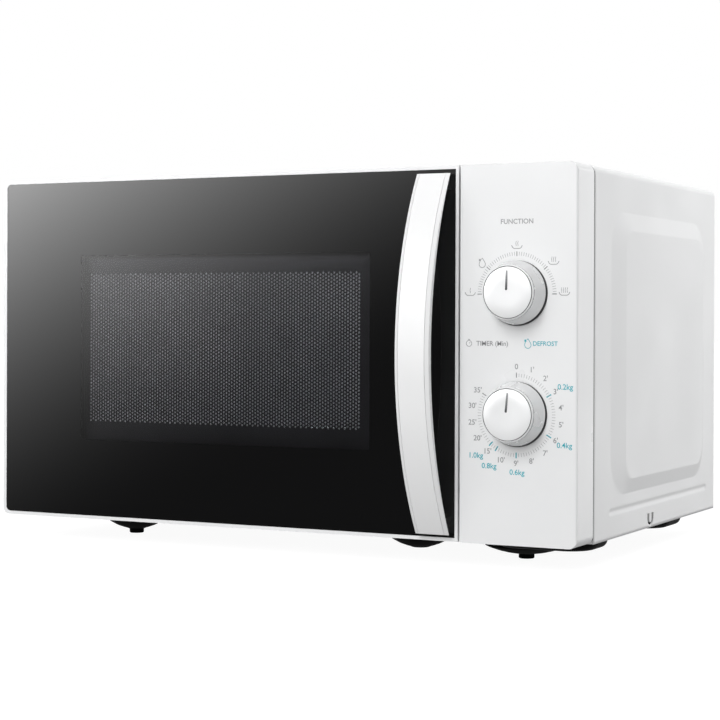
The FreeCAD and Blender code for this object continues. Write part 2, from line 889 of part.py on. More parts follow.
def knob(label, up, rest):
    """Flared push-on knob with a shouldered cap and one pointer groove."""
    base, shoulder, cap = dim("knob_radius"), dim("knob_shoulder"), dim("knob_cap")
    length = dim("knob_length")
    bore = dial_shaft + 0.02
    outline = [
        (bore, 0),
        (6, 0),
        (6, length - 3.5),
        (base - 3.2, length - 3.5),
        (base - 2.2, 0.5),
        (base, 0.5),
        (shoulder, length - 1.6),
        (cap, length),
        (0, length),
        (0, length - 3.0),
        (bore, length - 3.0),
    ]
    body = turned("knob_turning", outline, FACING_FRONT, (dial_across, 0, up), -rest.value)
    turn = FreeCAD.Rotation(FreeCAD.Vector(0, 1, 0), rest.value)
    groove = document.addObject("Part::Box", "pointer")
    groove.Length = 1.4
    groove.Width = 2
    groove.setExpression("Height", "Dims.knob_cap - 3.4")
    groove.Placement.Rotation = turn
    corner = turn.multVec(FreeCAD.Vector(-0.7, 0, 1.3))
    place(groove, (dial_across + corner.x, 1.0 - 2.0 + 0.2 - length, up + corner.z))
    return finish(label, cut(body, groove))


def dial_axle(label, up):
    """Steel shaft from the knob into the switch body."""
    return finish(label, rod("y", (dial_across, 3.2 - dim("knob_length"), up), dial_shaft, 28))


# ---------------------------------------------------------------- door

def glass_corners(middle, direction):
    """The glass and its seat are rounded at the hinge side only."""
    return 3.5 if direction == "y" and middle.x < 10 else 0


def door_frame():
    """White moulded frame that surrounds the glass and carries the door's parts."""
    wall = door_wall
    outer = block((0, door_width), (0, door_thickness), (0.3, body_height))
    back_round = dim("door_back_round").value
    corner = dim("door_corner").value

    def back_edge(middle, direction):
        return back_round if direction == "z" and middle.x < 1 and middle.y > 20 else 0

    def left_corners(middle, direction):
        return corner if direction == "y" and middle.x < 1 else 0

    shaped = round_edges(round_edges(outer, left_corners), back_edge)
    back_room = block(
        (wall, door_width - wall), (glass_thickness + 2.9, 40), (0.3 + wall, body_height - wall)
    )
    glass_seat = round_edges(
        block((wall, door_width - 2.1), (-5, glass_thickness + 0.5), (2.6, body_height - 2.3)),
        glass_corners,
    )
    mouth = block((14, 345), (0, 20), (14, 226))
    arm_rooms = [
        block((-2, 15.5), (8.5, 40), (low, high)) for low, high in ((2.8, 5.4), (235.2, 238.0))
    ]
    screw_holes = [rod("y", (screw_across, 0, up), 2.2, 12) for up in screw_heights]
    bosses = [
        tube("z", (hinge_across, hinge_behind, low), 5.0, hinge_pin + running_gap, 8.4)
        for low in (5.6, 226.6)
    ]
    webs = [block((1.2, 3.6), (15, 20), (low, low + 8.4)) for low in (5.6, 226.6)]
    spring_seat = block((343, door_width - wall + 0.2), (13, 21), (213.5, 216.5))
    shell = cut(shaped, back_room, glass_seat, mouth, *screw_holes)
    return finish("door_frame", cut(fuse(shell, *bosses, *webs, spring_seat), *arm_rooms))


def door_glass():
    """Black-printed glass over the whole door."""
    pane = block(
        (door_wall + 0.05, door_width - 2.2),
        (glass_front, glass_front + glass_thickness),
        (2.65, body_height - 2.35),
    )
    holes = [rod("y", (screw_across, -1, up), 2.2, 8) for up in screw_heights]
    return finish("door_glass", cut(round_edges(pane, glass_corners), *holes))


def door_screen():
    """Steel shield plate with folded edges, behind the glass."""
    start = glass_thickness + 3.1
    outer = block((16, 340), (start, 24), (16, 224))
    inner = block((17, 339), (start + 0.8, 30), (17, 223))
    return finish("door_screen", cut(outer, inner))


def inner_window():
    """Clear film sealed over the screen on the oven's side."""
    start = glass_thickness + 4.1
    return finish("inner_window", block((58, 308), (start, start + 0.5), (48, 196)))


def door_choke():
    """Plastic cover over the door's choke channel, facing the oven."""
    cover = block((5, 355), (24.5, door_thickness - 0.3), (6.2, 234.3))
    mouth = block((48, 318), (20, 40), (42, 204))
    slots = [block((343, 360), (20, 40), (up - 6, up + 10)) for up in latch_heights]
    return finish("door_choke", cut(cover, mouth, *slots))


def handle():
    """Bowed bar, an arc in side view, with bevelled long edges and a pad at each end."""
    low, high = handle_low, handle_high
    bow = dim("handle_bow")
    half = (high - low) / 2
    radius = (half * half + bow * bow) / (2 * bow)
    left, width = dim("handle_left"), dim("handle_width")
    centre = (left, radius - handle_reach, (low + high) / 2)
    ring = tube("x", centre, radius, radius - dim("handle_bar"), width)
    reach = block((left - 1, left + 40), (-60, glass_front), (low, high))
    bar = common(ring, reach)
    document.recompute()
    bevel = dim("handle_bevel").value
    edges = []
    for number, edge in enumerate(bar.Shape.Edges, start=1):
        curve = edge.Curve
        if curve.TypeId == "Part::GeomCircle" and abs(curve.Radius - radius.value) < 0.01:
            edges.append((number, bevel, bevel * 0.6))
    bevelled = document.addObject("Part::Chamfer", "bevelled")
    bevelled.Base = bar
    bevelled.Edges = edges
    document.recompute()
    behind_bar = rod("x", centre, radius - 2, width)
    pad_inset, pad_length = 4.5, 10.0
    pads = [
        block((left + pad_inset, left + width - pad_inset), (-15, glass_front), (start, end))
        for start, end in ((low + 0.6, low + pad_length), (high - pad_length, high - 0.6))
    ]
    pilots = [rod("y", (screw_across, -5, up), 1.7, 8) for up in screw_heights]
    return finish("handle", cut(fuse(bevelled, common(fuse(*pads), behind_bar)), *pilots))


def handle_screws():
    """Screws from inside the door into the handle's two ends."""
    screws = []
    seat = glass_thickness + 2.9
    for up in screw_heights:
        shank = rod("y", (screw_across, -4.5, up), 1.6, seat + 4.5)
        head = rod("y", (screw_across, seat, up), 3.2, 2)
        screws.append(fuse(shank, head))
    return finish("handle_screws", gather(*screws))


def hinge(label, plate_low, pin_low, pin_length, flange_low, flange_high):
    """Bracket on the front frame whose pin the door turns on."""
    arm = block(
        (hinge_across - 4, hinge_across + 4), (hinge_behind, frame_face), (plate_low, plate_low + 2)
    )
    nose = rod("z", (hinge_across, hinge_behind, plate_low), 4.0, 2)
    flange = block((3.5, 18), (frame_face - 1, frame_face), (flange_low, flange_high))
    pin = rod("z", (hinge_across, hinge_behind, pin_low), hinge_pin, pin_length)
    return finish(label, fuse(arm, nose, flange, pin))


def latch_bar():
    """Sliding bar inside the door with the two hooks that enter the cabinet."""
    half = 2.5
    across = latch_across
    bar = block((across - half, across + half), (13, 21), (54, 198))
    hooks = []
    for up in latch_heights:
        arm = block((across - half, across + half), (20, 50), (up - 4, up + 4))
        beak = block((across - half, across + half), (43, 50), (up - 5.5, up))

        def lead_in(middle, direction):
            return 1.2 if direction == "x" and middle.y > 49 else 0

        hooks.append(round_edges(fuse(arm, beak), lead_in))
    return finish("latch_bar", fuse(bar, *hooks))


def latch_spring():
    """Compression spring that pushes the latch bar down."""
    low, high, radius, wire = 198.3, 213.2, 2.6, 0.35
    turns = 6
    coil = Part.makeHelix((high - low - 2 * wire) / turns, high - low - 2 * wire, radius)
    section = Part.Wire(Part.makeCircle(
        wire, FreeCAD.Vector(radius, 0, 0), FreeCAD.Vector(0, 1, 0)
    ))
    spring = document.addObject("Part::Feature", "spring")
    spring.Shape = Part.Wire(coil).makePipeShell([section], True, True)
    place(spring, (latch_across, 17, low + wire))
    return finish("latch_spring", spring)


def latch_housing():
    """Plastic block behind the frame that the hooks enter."""
    box = block((340, 357), (31.2, 72), (46, 206))
    channels = [block((342, 355.5), (20, 57), (up - 7, up + 11)) for up in latch_heights]
    side_holes = [rod("x", (350, 46, up), 1.65, 10) for up in latch_heights]
    end_hole = rod("y", (latch_across, 50, dim("latch_low")), 1.65, 30)
    return finish("latch_housing", cut(box, *channels, *side_holes, end_hole))


def door_switches():
    """Three microswitches, each with its own plunger against a hook."""
    low, high = dim("latch_low"), dim("latch_high")
    for name, up in (("lower", low), ("upper", high)):
        body = block((357.2, 373), (36, 63.8), (up - 5.1, up + 5.1))
        bore = rod("x", (350, 46, up), 1.6, 13)
        finish(f"{name}_switch", cut(body, bore))
        finish(f"{name}_plunger", rod("x", (351.3, 46, up), 1.5, 9))
    body = block((342.9, 353.1), (72.2, 88), (48.2, 76))
    bore = rod("y", (latch_across, 60, low), 1.6, 18)
    finish("monitor_switch", cut(body, bore))
    finish("monitor_plunger", rod("y", (latch_across, 50.8, low), 1.5, 24))


# ---------------------------------------------------------------- turntable

def turntable_drive():
    """Three-armed plastic coupler on the motor's shaft."""
    shaft = rod("z", (tray_across, tray_behind, 11), 3.0, 20)
    hub = rod("z", (tray_across, tray_behind, cavity_floor + 1), 7.0, 11)
    arms = []
    for number in range(3):
        arm = document.addObject("Part::Box", "arm")
        arm.Length = 17
        arm.Width = 7
        arm.Height = 6
        turn = FreeCAD.Rotation(FreeCAD.Vector(0, 0, 1), 120 * number)
        arm.Placement.Rotation = turn
        root = turn.multVec(FreeCAD.Vector(0, -3.5, 0))
        place(arm, (tray_across + root.x, tray_behind + root.y, cavity_floor + 6))
        arms.append(arm)
    return finish("turntable_drive", fuse(shaft, hub, *arms))


def roller_ring():
    """Ring with three spokes and three stub axles for its wheels."""
    inner, outer = 80.0, 84.0
    low = roller_height - 2
    ring = tube("z", (tray_across, tray_behind, low), outer, inner, 4)
    axles = []
    for turn in roller_turns():
        for start, radius, length in ((outer - 2, 3.4, 6.5), (outer - 2, 2.0, 22.5), (100.0, 3.2, 2)):
            axle = rod("z", (0, 0, 0), radius, length)
            axle.Placement.Rotation = turn.multiply(AXES["x"])
            root = turn.multVec(FreeCAD.Vector(start, 0, 0))
            place(axle, (tray_across + root.x, tray_behind + root.y, roller_height))
            axles.append(axle)
    return finish("roller_ring", fuse(ring, *axles))


def roller_turns():
    return [FreeCAD.Rotation(FreeCAD.Vector(0, 0, 1), 90 + 120 * number) for number in range(3)]


def rollers():
    """Three plastic wheels that carry the tray."""
    width = dim("roller_width")
    for number, turn in enumerate(roller_turns(), start=1):
        outline = [
            (2.0 + running_gap, 0),
            (roller_radius, 0),
            (roller_radius, width),
            (2.0 + running_gap, width),
        ]
        root = turn.multVec(FreeCAD.Vector(roller_track.value - width.value / 2, 0, 0))
        wheel = turned(
            f"roller_{number}",
            outline,
            turn.multiply(AXES["x"]),
            (tray_across + root.x, tray_behind + root.y, roller_height),
        )
        finish(f"roller_{number}", wheel)


def glass_tray():
    """Round glass tray with a raised rim and three drive lugs underneath."""
    radius = dim("tray_radius")
    outline = [
        (0, 0),
        (radius - 20, 0),
        (radius - 10, 2.0),
        (radius - 2, 9.0),
        (radius, 12.0),
        (radius - 1.5, 13.0),
        (radius - 11, 6.5),
        (radius - 21, 5.0),
        (0, 5.0),
    ]
    dish = turned("dish", outline, FACING_UP, (tray_across, tray_behind, tray_height))
    lugs = []
    for number in range(3):
        angle = math.radians(60 + 120 * number)
        at = (
            tray_across + 13 * math.cos(angle),
            tray_behind + 13 * math.sin(angle),
            tray_height - 6,
        )
        lugs.append(rod("z", at, 3.5, 7))
    return finish("glass_tray", fuse(dish, *lugs))


casing()
rear_screws()
rear_panel()
cord_gland()
front_frame()
oven_cavity()
wave_cover()
waveguide()
magnetron_frame()
magnetron_tube()
magnetron_fins()
magnetron_filter()
thermal_cutout()
transformer_core()
transformer_winding()
capacitor()
capacitor_clamp()
high_voltage_diode()
fan_shroud()
fan_motor()
fan_blade()
lamp()
filter_board()
line_fuse()
turntable_motor()
base_plate()
feet()
control_panel()
switch_body("function_switch", dim("function_height"), 20, 28)
switch_body("timer_body", dim("timer_height"), 23, 34)
timer_bell()
knob("function_knob", dim("function_height"), dim("function_rest"))
knob("timer_knob", dim("timer_height"), dim("timer_rest"))
dial_axle("function_shaft", dim("function_height"))
dial_axle("timer_shaft", dim("timer_height"))
door_frame()
door_glass()
door_screen()
inner_window()
door_choke()
handle()
handle_screws()
hinge("hinge_bottom", size(3.1), size(3.1), 10.4, 3.1, 34)
hinge("hinge_top", size(235.5), size(227.1), 10.4, 206, 237.5)
latch_bar()
latch_spring()
latch_housing()
door_switches()
turntable_drive()
roller_ring()
rollers()
glass_tray()
document.recompute()

faults = [one.Label for one in document.Objects if {"Invalid", "Error"} & set(one.State)]
for thing in sub_parts:
    if thing.Shape.isNull() or not thing.Shape.isValid() or thing.Shape.Volume < 1:
        faults.append(thing.Label)
if faults:
    raise RuntimeError("parts that did not build: " + ", ".join(faults))
for thing in sub_parts:
    thing.Shape.exportStep(f"parts/{thing.Label}.step")
    print(f"{thing.Label:22s} {thing.Shape.Volume / 1000:9.2f} cm3  {len(thing.Shape.Solids)} solids")
whole = Part.makeCompound([thing.Shape for thing in sub_parts]).BoundBox
print(f"{len(sub_parts)} sub-parts, {whole}")
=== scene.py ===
import json
import math

import bmesh
import bpy
from mathutils import Matrix, Vector


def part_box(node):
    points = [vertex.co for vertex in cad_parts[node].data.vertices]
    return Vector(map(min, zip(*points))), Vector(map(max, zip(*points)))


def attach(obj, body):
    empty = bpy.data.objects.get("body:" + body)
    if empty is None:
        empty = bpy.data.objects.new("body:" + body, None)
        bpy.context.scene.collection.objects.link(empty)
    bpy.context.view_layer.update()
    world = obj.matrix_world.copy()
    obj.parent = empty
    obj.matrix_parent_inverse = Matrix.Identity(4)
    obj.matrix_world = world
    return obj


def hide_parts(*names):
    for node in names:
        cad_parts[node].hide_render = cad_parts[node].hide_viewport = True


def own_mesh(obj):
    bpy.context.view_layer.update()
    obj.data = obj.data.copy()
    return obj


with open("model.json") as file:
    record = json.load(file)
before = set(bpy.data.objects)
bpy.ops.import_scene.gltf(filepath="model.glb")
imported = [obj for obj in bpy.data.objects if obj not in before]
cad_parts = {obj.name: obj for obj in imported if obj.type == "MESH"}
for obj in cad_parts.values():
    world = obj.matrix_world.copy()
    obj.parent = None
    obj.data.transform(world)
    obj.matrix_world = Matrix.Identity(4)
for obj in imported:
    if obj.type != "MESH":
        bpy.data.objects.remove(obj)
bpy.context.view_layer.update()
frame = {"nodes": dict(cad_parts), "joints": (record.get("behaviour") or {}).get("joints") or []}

MM = 0.001
NODES = frame["nodes"]
JOINT_AT = {joint["name"]: joint.get("pos_m") for joint in frame["joints"]}

# Datums read from the frame: the cabinet's left side, the door's front plane
# and the cabinet's lower edge, from which every place below is measured in mm.
DOOR_LOW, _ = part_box("door_frame")
PANEL_LOW, PANEL_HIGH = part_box("control_panel")
CASING_LOW, CASING_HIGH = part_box("casing")
LEFT = DOOR_LOW.x
FRONT = DOOR_LOW.y
BASE = CASING_LOW.z
WIDTH = (PANEL_HIGH.x - LEFT) / MM
HEIGHT = (CASING_HIGH.z - BASE) / MM


def at(x, y, z):
    """A place given in mm from the cabinet's left, front and lower edge."""
    return Vector((LEFT + x * MM, FRONT + y * MM, BASE + z * MM))


def from_left(x):
    return (x - LEFT) / MM


def from_front(y):
    return (y - FRONT) / MM


def from_base(z):
    return (z - BASE) / MM


# ---------------------------------------------------------------- materials

def shader(name):
    """A new material with its node tree and its Principled shader."""
    made = bpy.data.materials.new(name)
    made.use_nodes = True
    tree = made.node_tree
    principled = tree.nodes["Principled BSDF"]
    return made, tree, principled


def link(tree, source, output, target, socket):
    tree.links.new(source.outputs[output], target.inputs[socket])


def split_place(tree, kind):
    """Object or Generated coordinates, split into X, Y and Z."""
    place = tree.nodes.new("ShaderNodeTexCoord")
    split = tree.nodes.new("ShaderNodeSeparateXYZ")
    link(tree, place, kind, split, "Vector")
    return split


def object_noise(tree, scale, detail=4.0):
    """Noise in the piece's own coordinates, features about 1/scale metres across."""
    place = tree.nodes.new("ShaderNodeTexCoord")
    noise = tree.nodes.new("ShaderNodeTexNoise")
    noise.inputs["Scale"].default_value = scale
    noise.inputs["Detail"].default_value = detail
    link(tree, place, "Object", noise, "Vector")
    return noise


def remap(tree, source, output, old=(0.0, 1.0), new=(0.0, 1.0)):
    """A node's number carried from one range to another."""
    ranged = tree.nodes.new("ShaderNodeMapRange")
    for end, number in zip(("From Min", "From Max", "To Min", "To Max"), (*old, *new)):
        ranged.inputs[end].default_value = number
    link(tree, source, output, ranged, "Value")
    return ranged


def spread(tree, noise, low, high):
    """The noise, which lies mostly between 0.3 and 0.7, spread over a range of numbers."""
    return remap(tree, noise, "Fac", (0.3, 0.7), (low, high))


def colour_ramp(tree, source, output, *stops):
    """A colour that runs between two stops, each a position and a colour."""
    ramp = tree.nodes.new("ShaderNodeValToRGB")
    for element, (position, colour) in zip(ramp.color_ramp.elements, stops):
        element.position = position
        element.color = (*colour, 1)
    link(tree, source, output, ramp, "Fac")
    return ramp


def surface(
    name, colour, rough,
    patch=25.0, change=0.03, grain=1500.0, bump=0.03, metal=0.0, specular=0.5,
):
    """Painted, moulded or rolled surface: cloudy colour, uneven gloss, fine grain."""
    made, tree, principled = shader(name)
    principled.inputs["Metallic"].default_value = metal
    principled.inputs["Specular IOR Level"].default_value = specular
    clouds = object_noise(tree, patch)
    dark = [c * (1 - change) for c in colour]
    pale = [min(1, c * (1 + change)) for c in colour]
    ramp = colour_ramp(tree, clouds, "Fac", (0.3, dark), (0.7, pale))
    link(tree, ramp, "Color", principled, "Base Color")
    fine = object_noise(tree, grain, detail=2.0)
    gloss = spread(tree, clouds, rough * 0.85, rough * 1.15)
    link(tree, gloss, "Result", principled, "Roughness")
    relief = tree.nodes.new("ShaderNodeBump")
    relief.inputs["Strength"].default_value = bump
    relief.inputs["Distance"].default_value = 0.0002
    link(tree, fine, "Fac", relief, "Height")
    link(tree, relief, "Normal", principled, "Normal")
    return made


def box_mask(tree, low, high, soft):
    """1 inside a rectangle of x and z, 0 outside, in metres."""
    split = split_place(tree, "Object")
    mask = None
    for axis, start, end in (("X", low[0], high[0]), ("Z", low[1], high[1])):
        for edge, sign in ((start, 1), (end, -1)):
            step = remap(tree, split, axis, (edge - sign * soft, edge + sign * soft))
            if mask is None:
                mask = step
                continue
            both = tree.nodes.new("ShaderNodeMath")
            both.operation = "MULTIPLY"
            link(tree, mask, 0, both, 0)
            link(tree, step, 0, both, 1)
            mask = both
    return mask


def door_glass_material(low, high):
    """Tempered glass printed black behind, left clear and smoked over the window."""
    made, tree, principled = shader("black_printed_glass")
    principled.inputs["Base Color"].default_value = (0.0022, 0.0022, 0.0024, 1)
    principled.inputs["IOR"].default_value = 1.5
    smudge = object_noise(tree, 18.0)
    gloss = spread(tree, smudge, 0.015, 0.04)
    link(tree, gloss, "Result", principled, "Roughness")
    smoke = tree.nodes.new("ShaderNodeBsdfTransparent")
    smoke.inputs["Color"].default_value = (0.62, 0.62, 0.64, 1)
    mirror = tree.nodes.new("ShaderNodeBsdfGlossy")
    mirror.inputs["Color"].default_value = (1, 1, 1, 1)
    link(tree, gloss, "Result", mirror, "Roughness")
    fresnel = tree.nodes.new("ShaderNodeFresnel")
    fresnel.inputs["IOR"].default_value = 1.5
    facing = tree.nodes.new("ShaderNodeNewGeometry")
    outside = tree.nodes.new("ShaderNodeMath")
    outside.operation = "SUBTRACT"
    outside.inputs[0].default_value = 1.0
    link(tree, facing, "Backfacing", outside, 1)
    mirrored = tree.nodes.new("ShaderNodeMath")
    mirrored.operation = "MULTIPLY"
    link(tree, fresnel, "Fac", mirrored, 0)
    link(tree, outside, 0, mirrored, 1)
    clear = tree.nodes.new("ShaderNodeMixShader")
    link(tree, mirrored, 0, clear, 0)
    link(tree, smoke, 0, clear, 1)
    link(tree, mirror, 0, clear, 2)
    mask = box_mask(tree, low, high, 0.0003)
    whole = tree.nodes.new("ShaderNodeMixShader")
    link(tree, mask, 0, whole, 0)
    link(tree, principled, 0, whole, 1)
    link(tree, clear, 0, whole, 2)
    link(tree, whole, 0, tree.nodes["Material Output"], "Surface")
    return made


def clear_material(name, colour, alpha, rough=0.03):
    """Thin clear film: mostly seen through, with its own gloss and faint haze."""
    made, tree, principled = shader(name)
    principled.inputs["Base Color"].default_value = (*colour, 1)
    haze = object_noise(tree, 40.0)
    link(tree, spread(tree, haze, alpha * 0.8, alpha * 1.2), "Result", principled, "Alpha")
    link(tree, spread(tree, haze, rough * 0.8, rough * 1.4), "Result", principled, "Roughness")
    return made


def glass_material(name, colour):
    """Solid clear glass with a slight green edge."""
    made, tree, principled = shader(name)
    principled.inputs["Transmission Weight"].default_value = 1.0
    principled.inputs["IOR"].default_value = 1.47
    principled.inputs["Base Color"].default_value = (*colour, 1)
    ripple = object_noise(tree, 30.0)
    link(tree, spread(tree, ripple, 0.01, 0.05), "Result", principled, "Roughness")
    return made


WHITE_PAINT = surface(
    "white_enamel", (0.84, 0.845, 0.85), 0.42, change=0.008, grain=900, bump=0.04, specular=0.3
)
WHITE_MOULDED = surface(
    "white_moulding", (0.845, 0.85, 0.855), 0.32, change=0.008, grain=2500, bump=0.02
)
WHITE_GLOSS = surface(
    "handle_gloss", (0.87, 0.873, 0.876), 0.42, change=0.008, grain=2500, bump=0.01
)
KNOB_SKIRT = surface(
    "knob_skirt", (0.78, 0.785, 0.79), 0.26, patch=60, change=0.02, grain=900, bump=0.01, metal=0.4,
)
# Near black for the knobs' grooves: painted shade in these recesses.
GROOVE_PAINTED_SHADE = surface("groove_painted_shade", (0.08, 0.08, 0.085), 0.6, specular=0.2)
KNOB_SILVER = surface("knob_silver", (0.86, 0.865, 0.87), 0.36, grain=3000, bump=0.01, metal=0.12)
GREY_ENAMEL = surface("cavity_enamel", (0.62, 0.63, 0.64), 0.38, change=0.08, grain=500, bump=0.08)
ZINC = surface(
    "zinc_sheet", (0.60, 0.61, 0.63), 0.42, patch=160, change=0.07, metal=0.85, bump=0.05
)
DARK_IRON = surface("dark_iron", (0.10, 0.10, 0.105), 0.5, change=0.25, metal=0.6, bump=0.15)
ALUMINIUM = surface("aluminium_fin", (0.75, 0.76, 0.78), 0.35, metal=0.9, change=0.06)
COPPER = surface("copper_wire", (0.60, 0.27, 0.12), 0.3, metal=0.9, change=0.2, bump=0.3)
BRIGHT_STEEL = surface("bright_steel", (0.72, 0.72, 0.74), 0.22, metal=1.0, change=0.08)
# Black paint made darker than paint goes: partly the base plate's own black, partly painted shade
# under the oven.
BLACK_STEEL_AND_SHADE = surface(
    "black_steel", (0.002, 0.002, 0.0023), 0.5, change=0.2, bump=0.12, specular=0.06
)
BLACK_MOULDED = surface("black_moulding", (0.022, 0.022, 0.024), 0.42, change=0.2, bump=0.15)
GREY_MOULDED = surface("dark_grey_moulding", (0.05, 0.05, 0.055), 0.4, change=0.15, bump=0.12)
NATURAL = surface("natural_nylon", (0.72, 0.70, 0.63), 0.45, change=0.05, bump=0.05)
MICA = surface("mica_sheet", (0.50, 0.46, 0.36), 0.4, patch=60, change=0.25, bump=0.2)
BOARD = surface("green_board", (0.05, 0.20, 0.08), 0.35, change=0.15, bump=0.1)
# Black rubber made darker than rubber goes: partly the feet's own black, partly painted shade under
# the oven.
FOOT_RUBBER_AND_SHADE = surface("black_rubber_and_shade", (0.002, 0.002, 0.002), 0.8, change=0.2, bump=0.2, specular=0.06)
# Near black for the strip in the joint between panel and casing: painted shade in that gap.
SEAM_PAINTED_SHADE = surface("seam_painted_shade", (0.09, 0.09, 0.095), 0.7, change=0.1, specular=0.2)
GREY_INK = surface("grey_ink", (0.3, 0.3, 0.31), 0.5, change=0.08)
CYAN_INK = surface("cyan_ink", (0.01, 0.4, 0.48), 0.5, change=0.08)
SCREEN_PAINT = surface("screen_enamel", (0.020, 0.020, 0.021), 0.38, change=0.1, bump=0.05)
CLEAR_FILM = clear_material("clear_film", (0.8, 0.85, 0.85), 0.12)
CLEAR_GLASS = glass_material("tray_glass", (0.93, 0.98, 0.96))


def pointer_material():
    """Ink that is dark at the pointer's inner end and pale toward the knob's rim."""
    made = surface("pointer_ink", (0.2, 0.2, 0.21), 0.5, change=0.05)
    tree = made.node_tree
    principled = tree.nodes["Principled BSDF"]
    split = split_place(tree, "Generated")
    dark, pale = (0.035, 0.035, 0.04), (0.28, 0.28, 0.29)
    ramp = colour_ramp(tree, split, "Z", (0.1, dark), (0.95, pale))
    link(tree, ramp, "Color", principled, "Base Color")
    return made


POINTER_INK = pointer_material()

# Every CAD node's finish but the door glass's, which is made in dress_nodes.
NODE_MATERIALS = {
    WHITE_PAINT: ("casing", "front_frame"),
    WHITE_MOULDED: ("control_panel", "door_frame"),
    WHITE_GLOSS: ("handle",),
    KNOB_SILVER: ("function_knob", "timer_knob"),
    GREY_ENAMEL: ("oven_cavity",),
    ZINC: (
        "rear_panel", "waveguide", "magnetron_frame", "magnetron_filter", "capacitor_clamp",
        "turntable_motor", "hinge_bottom", "hinge_top",
    ),
    DARK_IRON: ("transformer_core", "fan_motor"),
    ALUMINIUM: ("magnetron_fins", "capacitor"),
    COPPER: ("magnetron_tube", "transformer_winding"),
    BRIGHT_STEEL: (
        "rear_screws", "handle_screws", "thermal_cutout", "timer_bell", "latch_spring",
        "function_shaft", "timer_shaft",
    ),
    BLACK_STEEL_AND_SHADE: ("base_plate", "door_screen"),
    BLACK_MOULDED: (
        "cord_gland", "high_voltage_diode", "function_switch", "timer_body", "latch_housing",
        "lower_switch", "upper_switch", "monitor_switch",
    ),
    GREY_MOULDED: ("door_choke",),
    NATURAL: (
        "fan_shroud", "fan_blade", "lamp_holder", "latch_bar", "turntable_drive", "roller_ring",
        "roller_1", "roller_2", "roller_3", "lower_plunger", "upper_plunger", "monitor_plunger",
    ),
    MICA: ("wave_cover",),
    BOARD: ("filter_board",),
    FOOT_RUBBER_AND_SHADE: ("feet",),
    CLEAR_FILM: ("inner_window",),
    CLEAR_GLASS: ("glass_tray", "lamp_bulb", "line_fuse"),
}


def dress_nodes():
    """Gives every CAD node its finish; the door's glass is clear over the aperture."""
    left, right, low, high = APERTURE
    glass = door_glass_material(
        (LEFT + left * MM, BASE + low * MM), (LEFT + right * MM, BASE + high * MM)
    )
    for finish, names in [*NODE_MATERIALS.items(), (glass, ("door_glass",))]:
        for name in names:
            NODES[name].data.materials.clear()
            NODES[name].data.materials.append(finish)


# ---------------------------------------------------------------- mesh helpers

def placed(name, data):
    """A new object in the scene that holds the given mesh, lamp, camera or lettering."""
    made = bpy.data.objects.new(name, data)
    bpy.context.scene.collection.objects.link(made)
    return made


def face_outward(mesh, weld):
    """Turns a mesh's faces outward, joining points closer than the weld distance first."""
    build = bmesh.new()
    build.from_mesh(mesh)
    if weld:
        bmesh.ops.remove_doubles(build, verts=build.verts, dist=weld)
    bmesh.ops.recalc_face_normals(build, faces=build.faces)
    build.to_mesh(mesh)
    build.free()


def piece(name, points, faces, finish, body, smooth=True):
    """A new mesh piece that rides on a CAD body. Points are in metres."""
    mesh = bpy.data.meshes.new(name)
    mesh.from_pydata([tuple(point) for point in points], [], faces)
    face_outward(mesh, 1e-6)
    mesh.materials.append(finish)
    made = placed(name, mesh)
    if smooth:
        mesh.shade_smooth()
        mesh.set_sharp_from_angle(angle=math.radians(35))
    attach(made, body)
    return made


def joined_rings(rings, size, start=0):
    """Quads that join each ring of points to the next, the rings lying one after another."""
    faces = []
    for ring in range(rings - 1):
        for step in range(size):
            here = start + ring * size + step
            after = start + ring * size + (step + 1) % size
            faces.append((here, after, after + size, here + size))
    return faces


def prism_faces(count, start=0):
    """Faces of a prism whose two ends are outlines of count points, one after the other."""
    faces = [
        tuple(range(start, start + count)),
        tuple(reversed(range(start + count, start + 2 * count))),
    ]
    for number in range(count):
        here, after = start + number, start + (number + 1) % count
        faces.append((after, here, here + count, after + count))
    return faces


def lathe(profile, steps, centre, along):
    """Points and faces of a profile of (radius, height) in mm turned about an axis."""
    along = Vector(along).normalized()
    side = along.orthogonal().normalized()
    other = along.cross(side)
    points = []
    for radius, height in profile:
        for step in range(steps):
            angle = 2 * math.pi * step / steps
            spoke = side * math.cos(angle) + other * math.sin(angle)
            points.append(Vector(centre) + (spoke * radius + along * height) * MM)
    return points, joined_rings(len(profile), steps)


def smooth_step(share):
    share = min(1.0, max(0.0, share))
    return share * share * (3 - 2 * share)


def spaced(start, end, gap):
    count = max(1, round((end - start) / gap))
    return [start + (end - start) * number / count for number in range(count + 1)]


# ---------------------------------------------------------------- casing

EMBOSS = from_left(CASING_HIGH.x) - WIDTH
CASING_FRONT = from_front(CASING_LOW.y)
SHELL_FRONT = CASING_FRONT + 0.9
CASING_BACK = from_front(CASING_HIGH.y)

# The pressed rectangle on a side wall, at its foot and at its crown, in mm:
# nearest and farthest depth, lowest and highest point, radius of the corners.
PRESSING_FOOT = (62.5, 268, 27.3, 213, 26)
PRESSING_CROWN = (87, 260, 37, 201, 14)

# The long groove below it, in mm: its two ends, its height, half its width, its depth.
BEAD_NEAR, BEAD_FAR = 64, 272
BEAD_HEIGHT, BEAD_HALF, BEAD_DEEP = 17.5, 3.0, 0.5

# Radius in mm of the wrap's long bends.
WRAP_BEND = 4.5


def inside_by(y, z, near, far, low, high, corner):
    """How far a point lies inside a rectangle with rounded corners, in mm."""
    across = abs(y - (near + far) / 2) - (far - near) / 2 + corner
    up = abs(z - (low + high) / 2) - (high - low) / 2 + corner
    outside = math.hypot(max(across, 0), max(up, 0)) + min(max(across, up), 0)
    return corner - outside


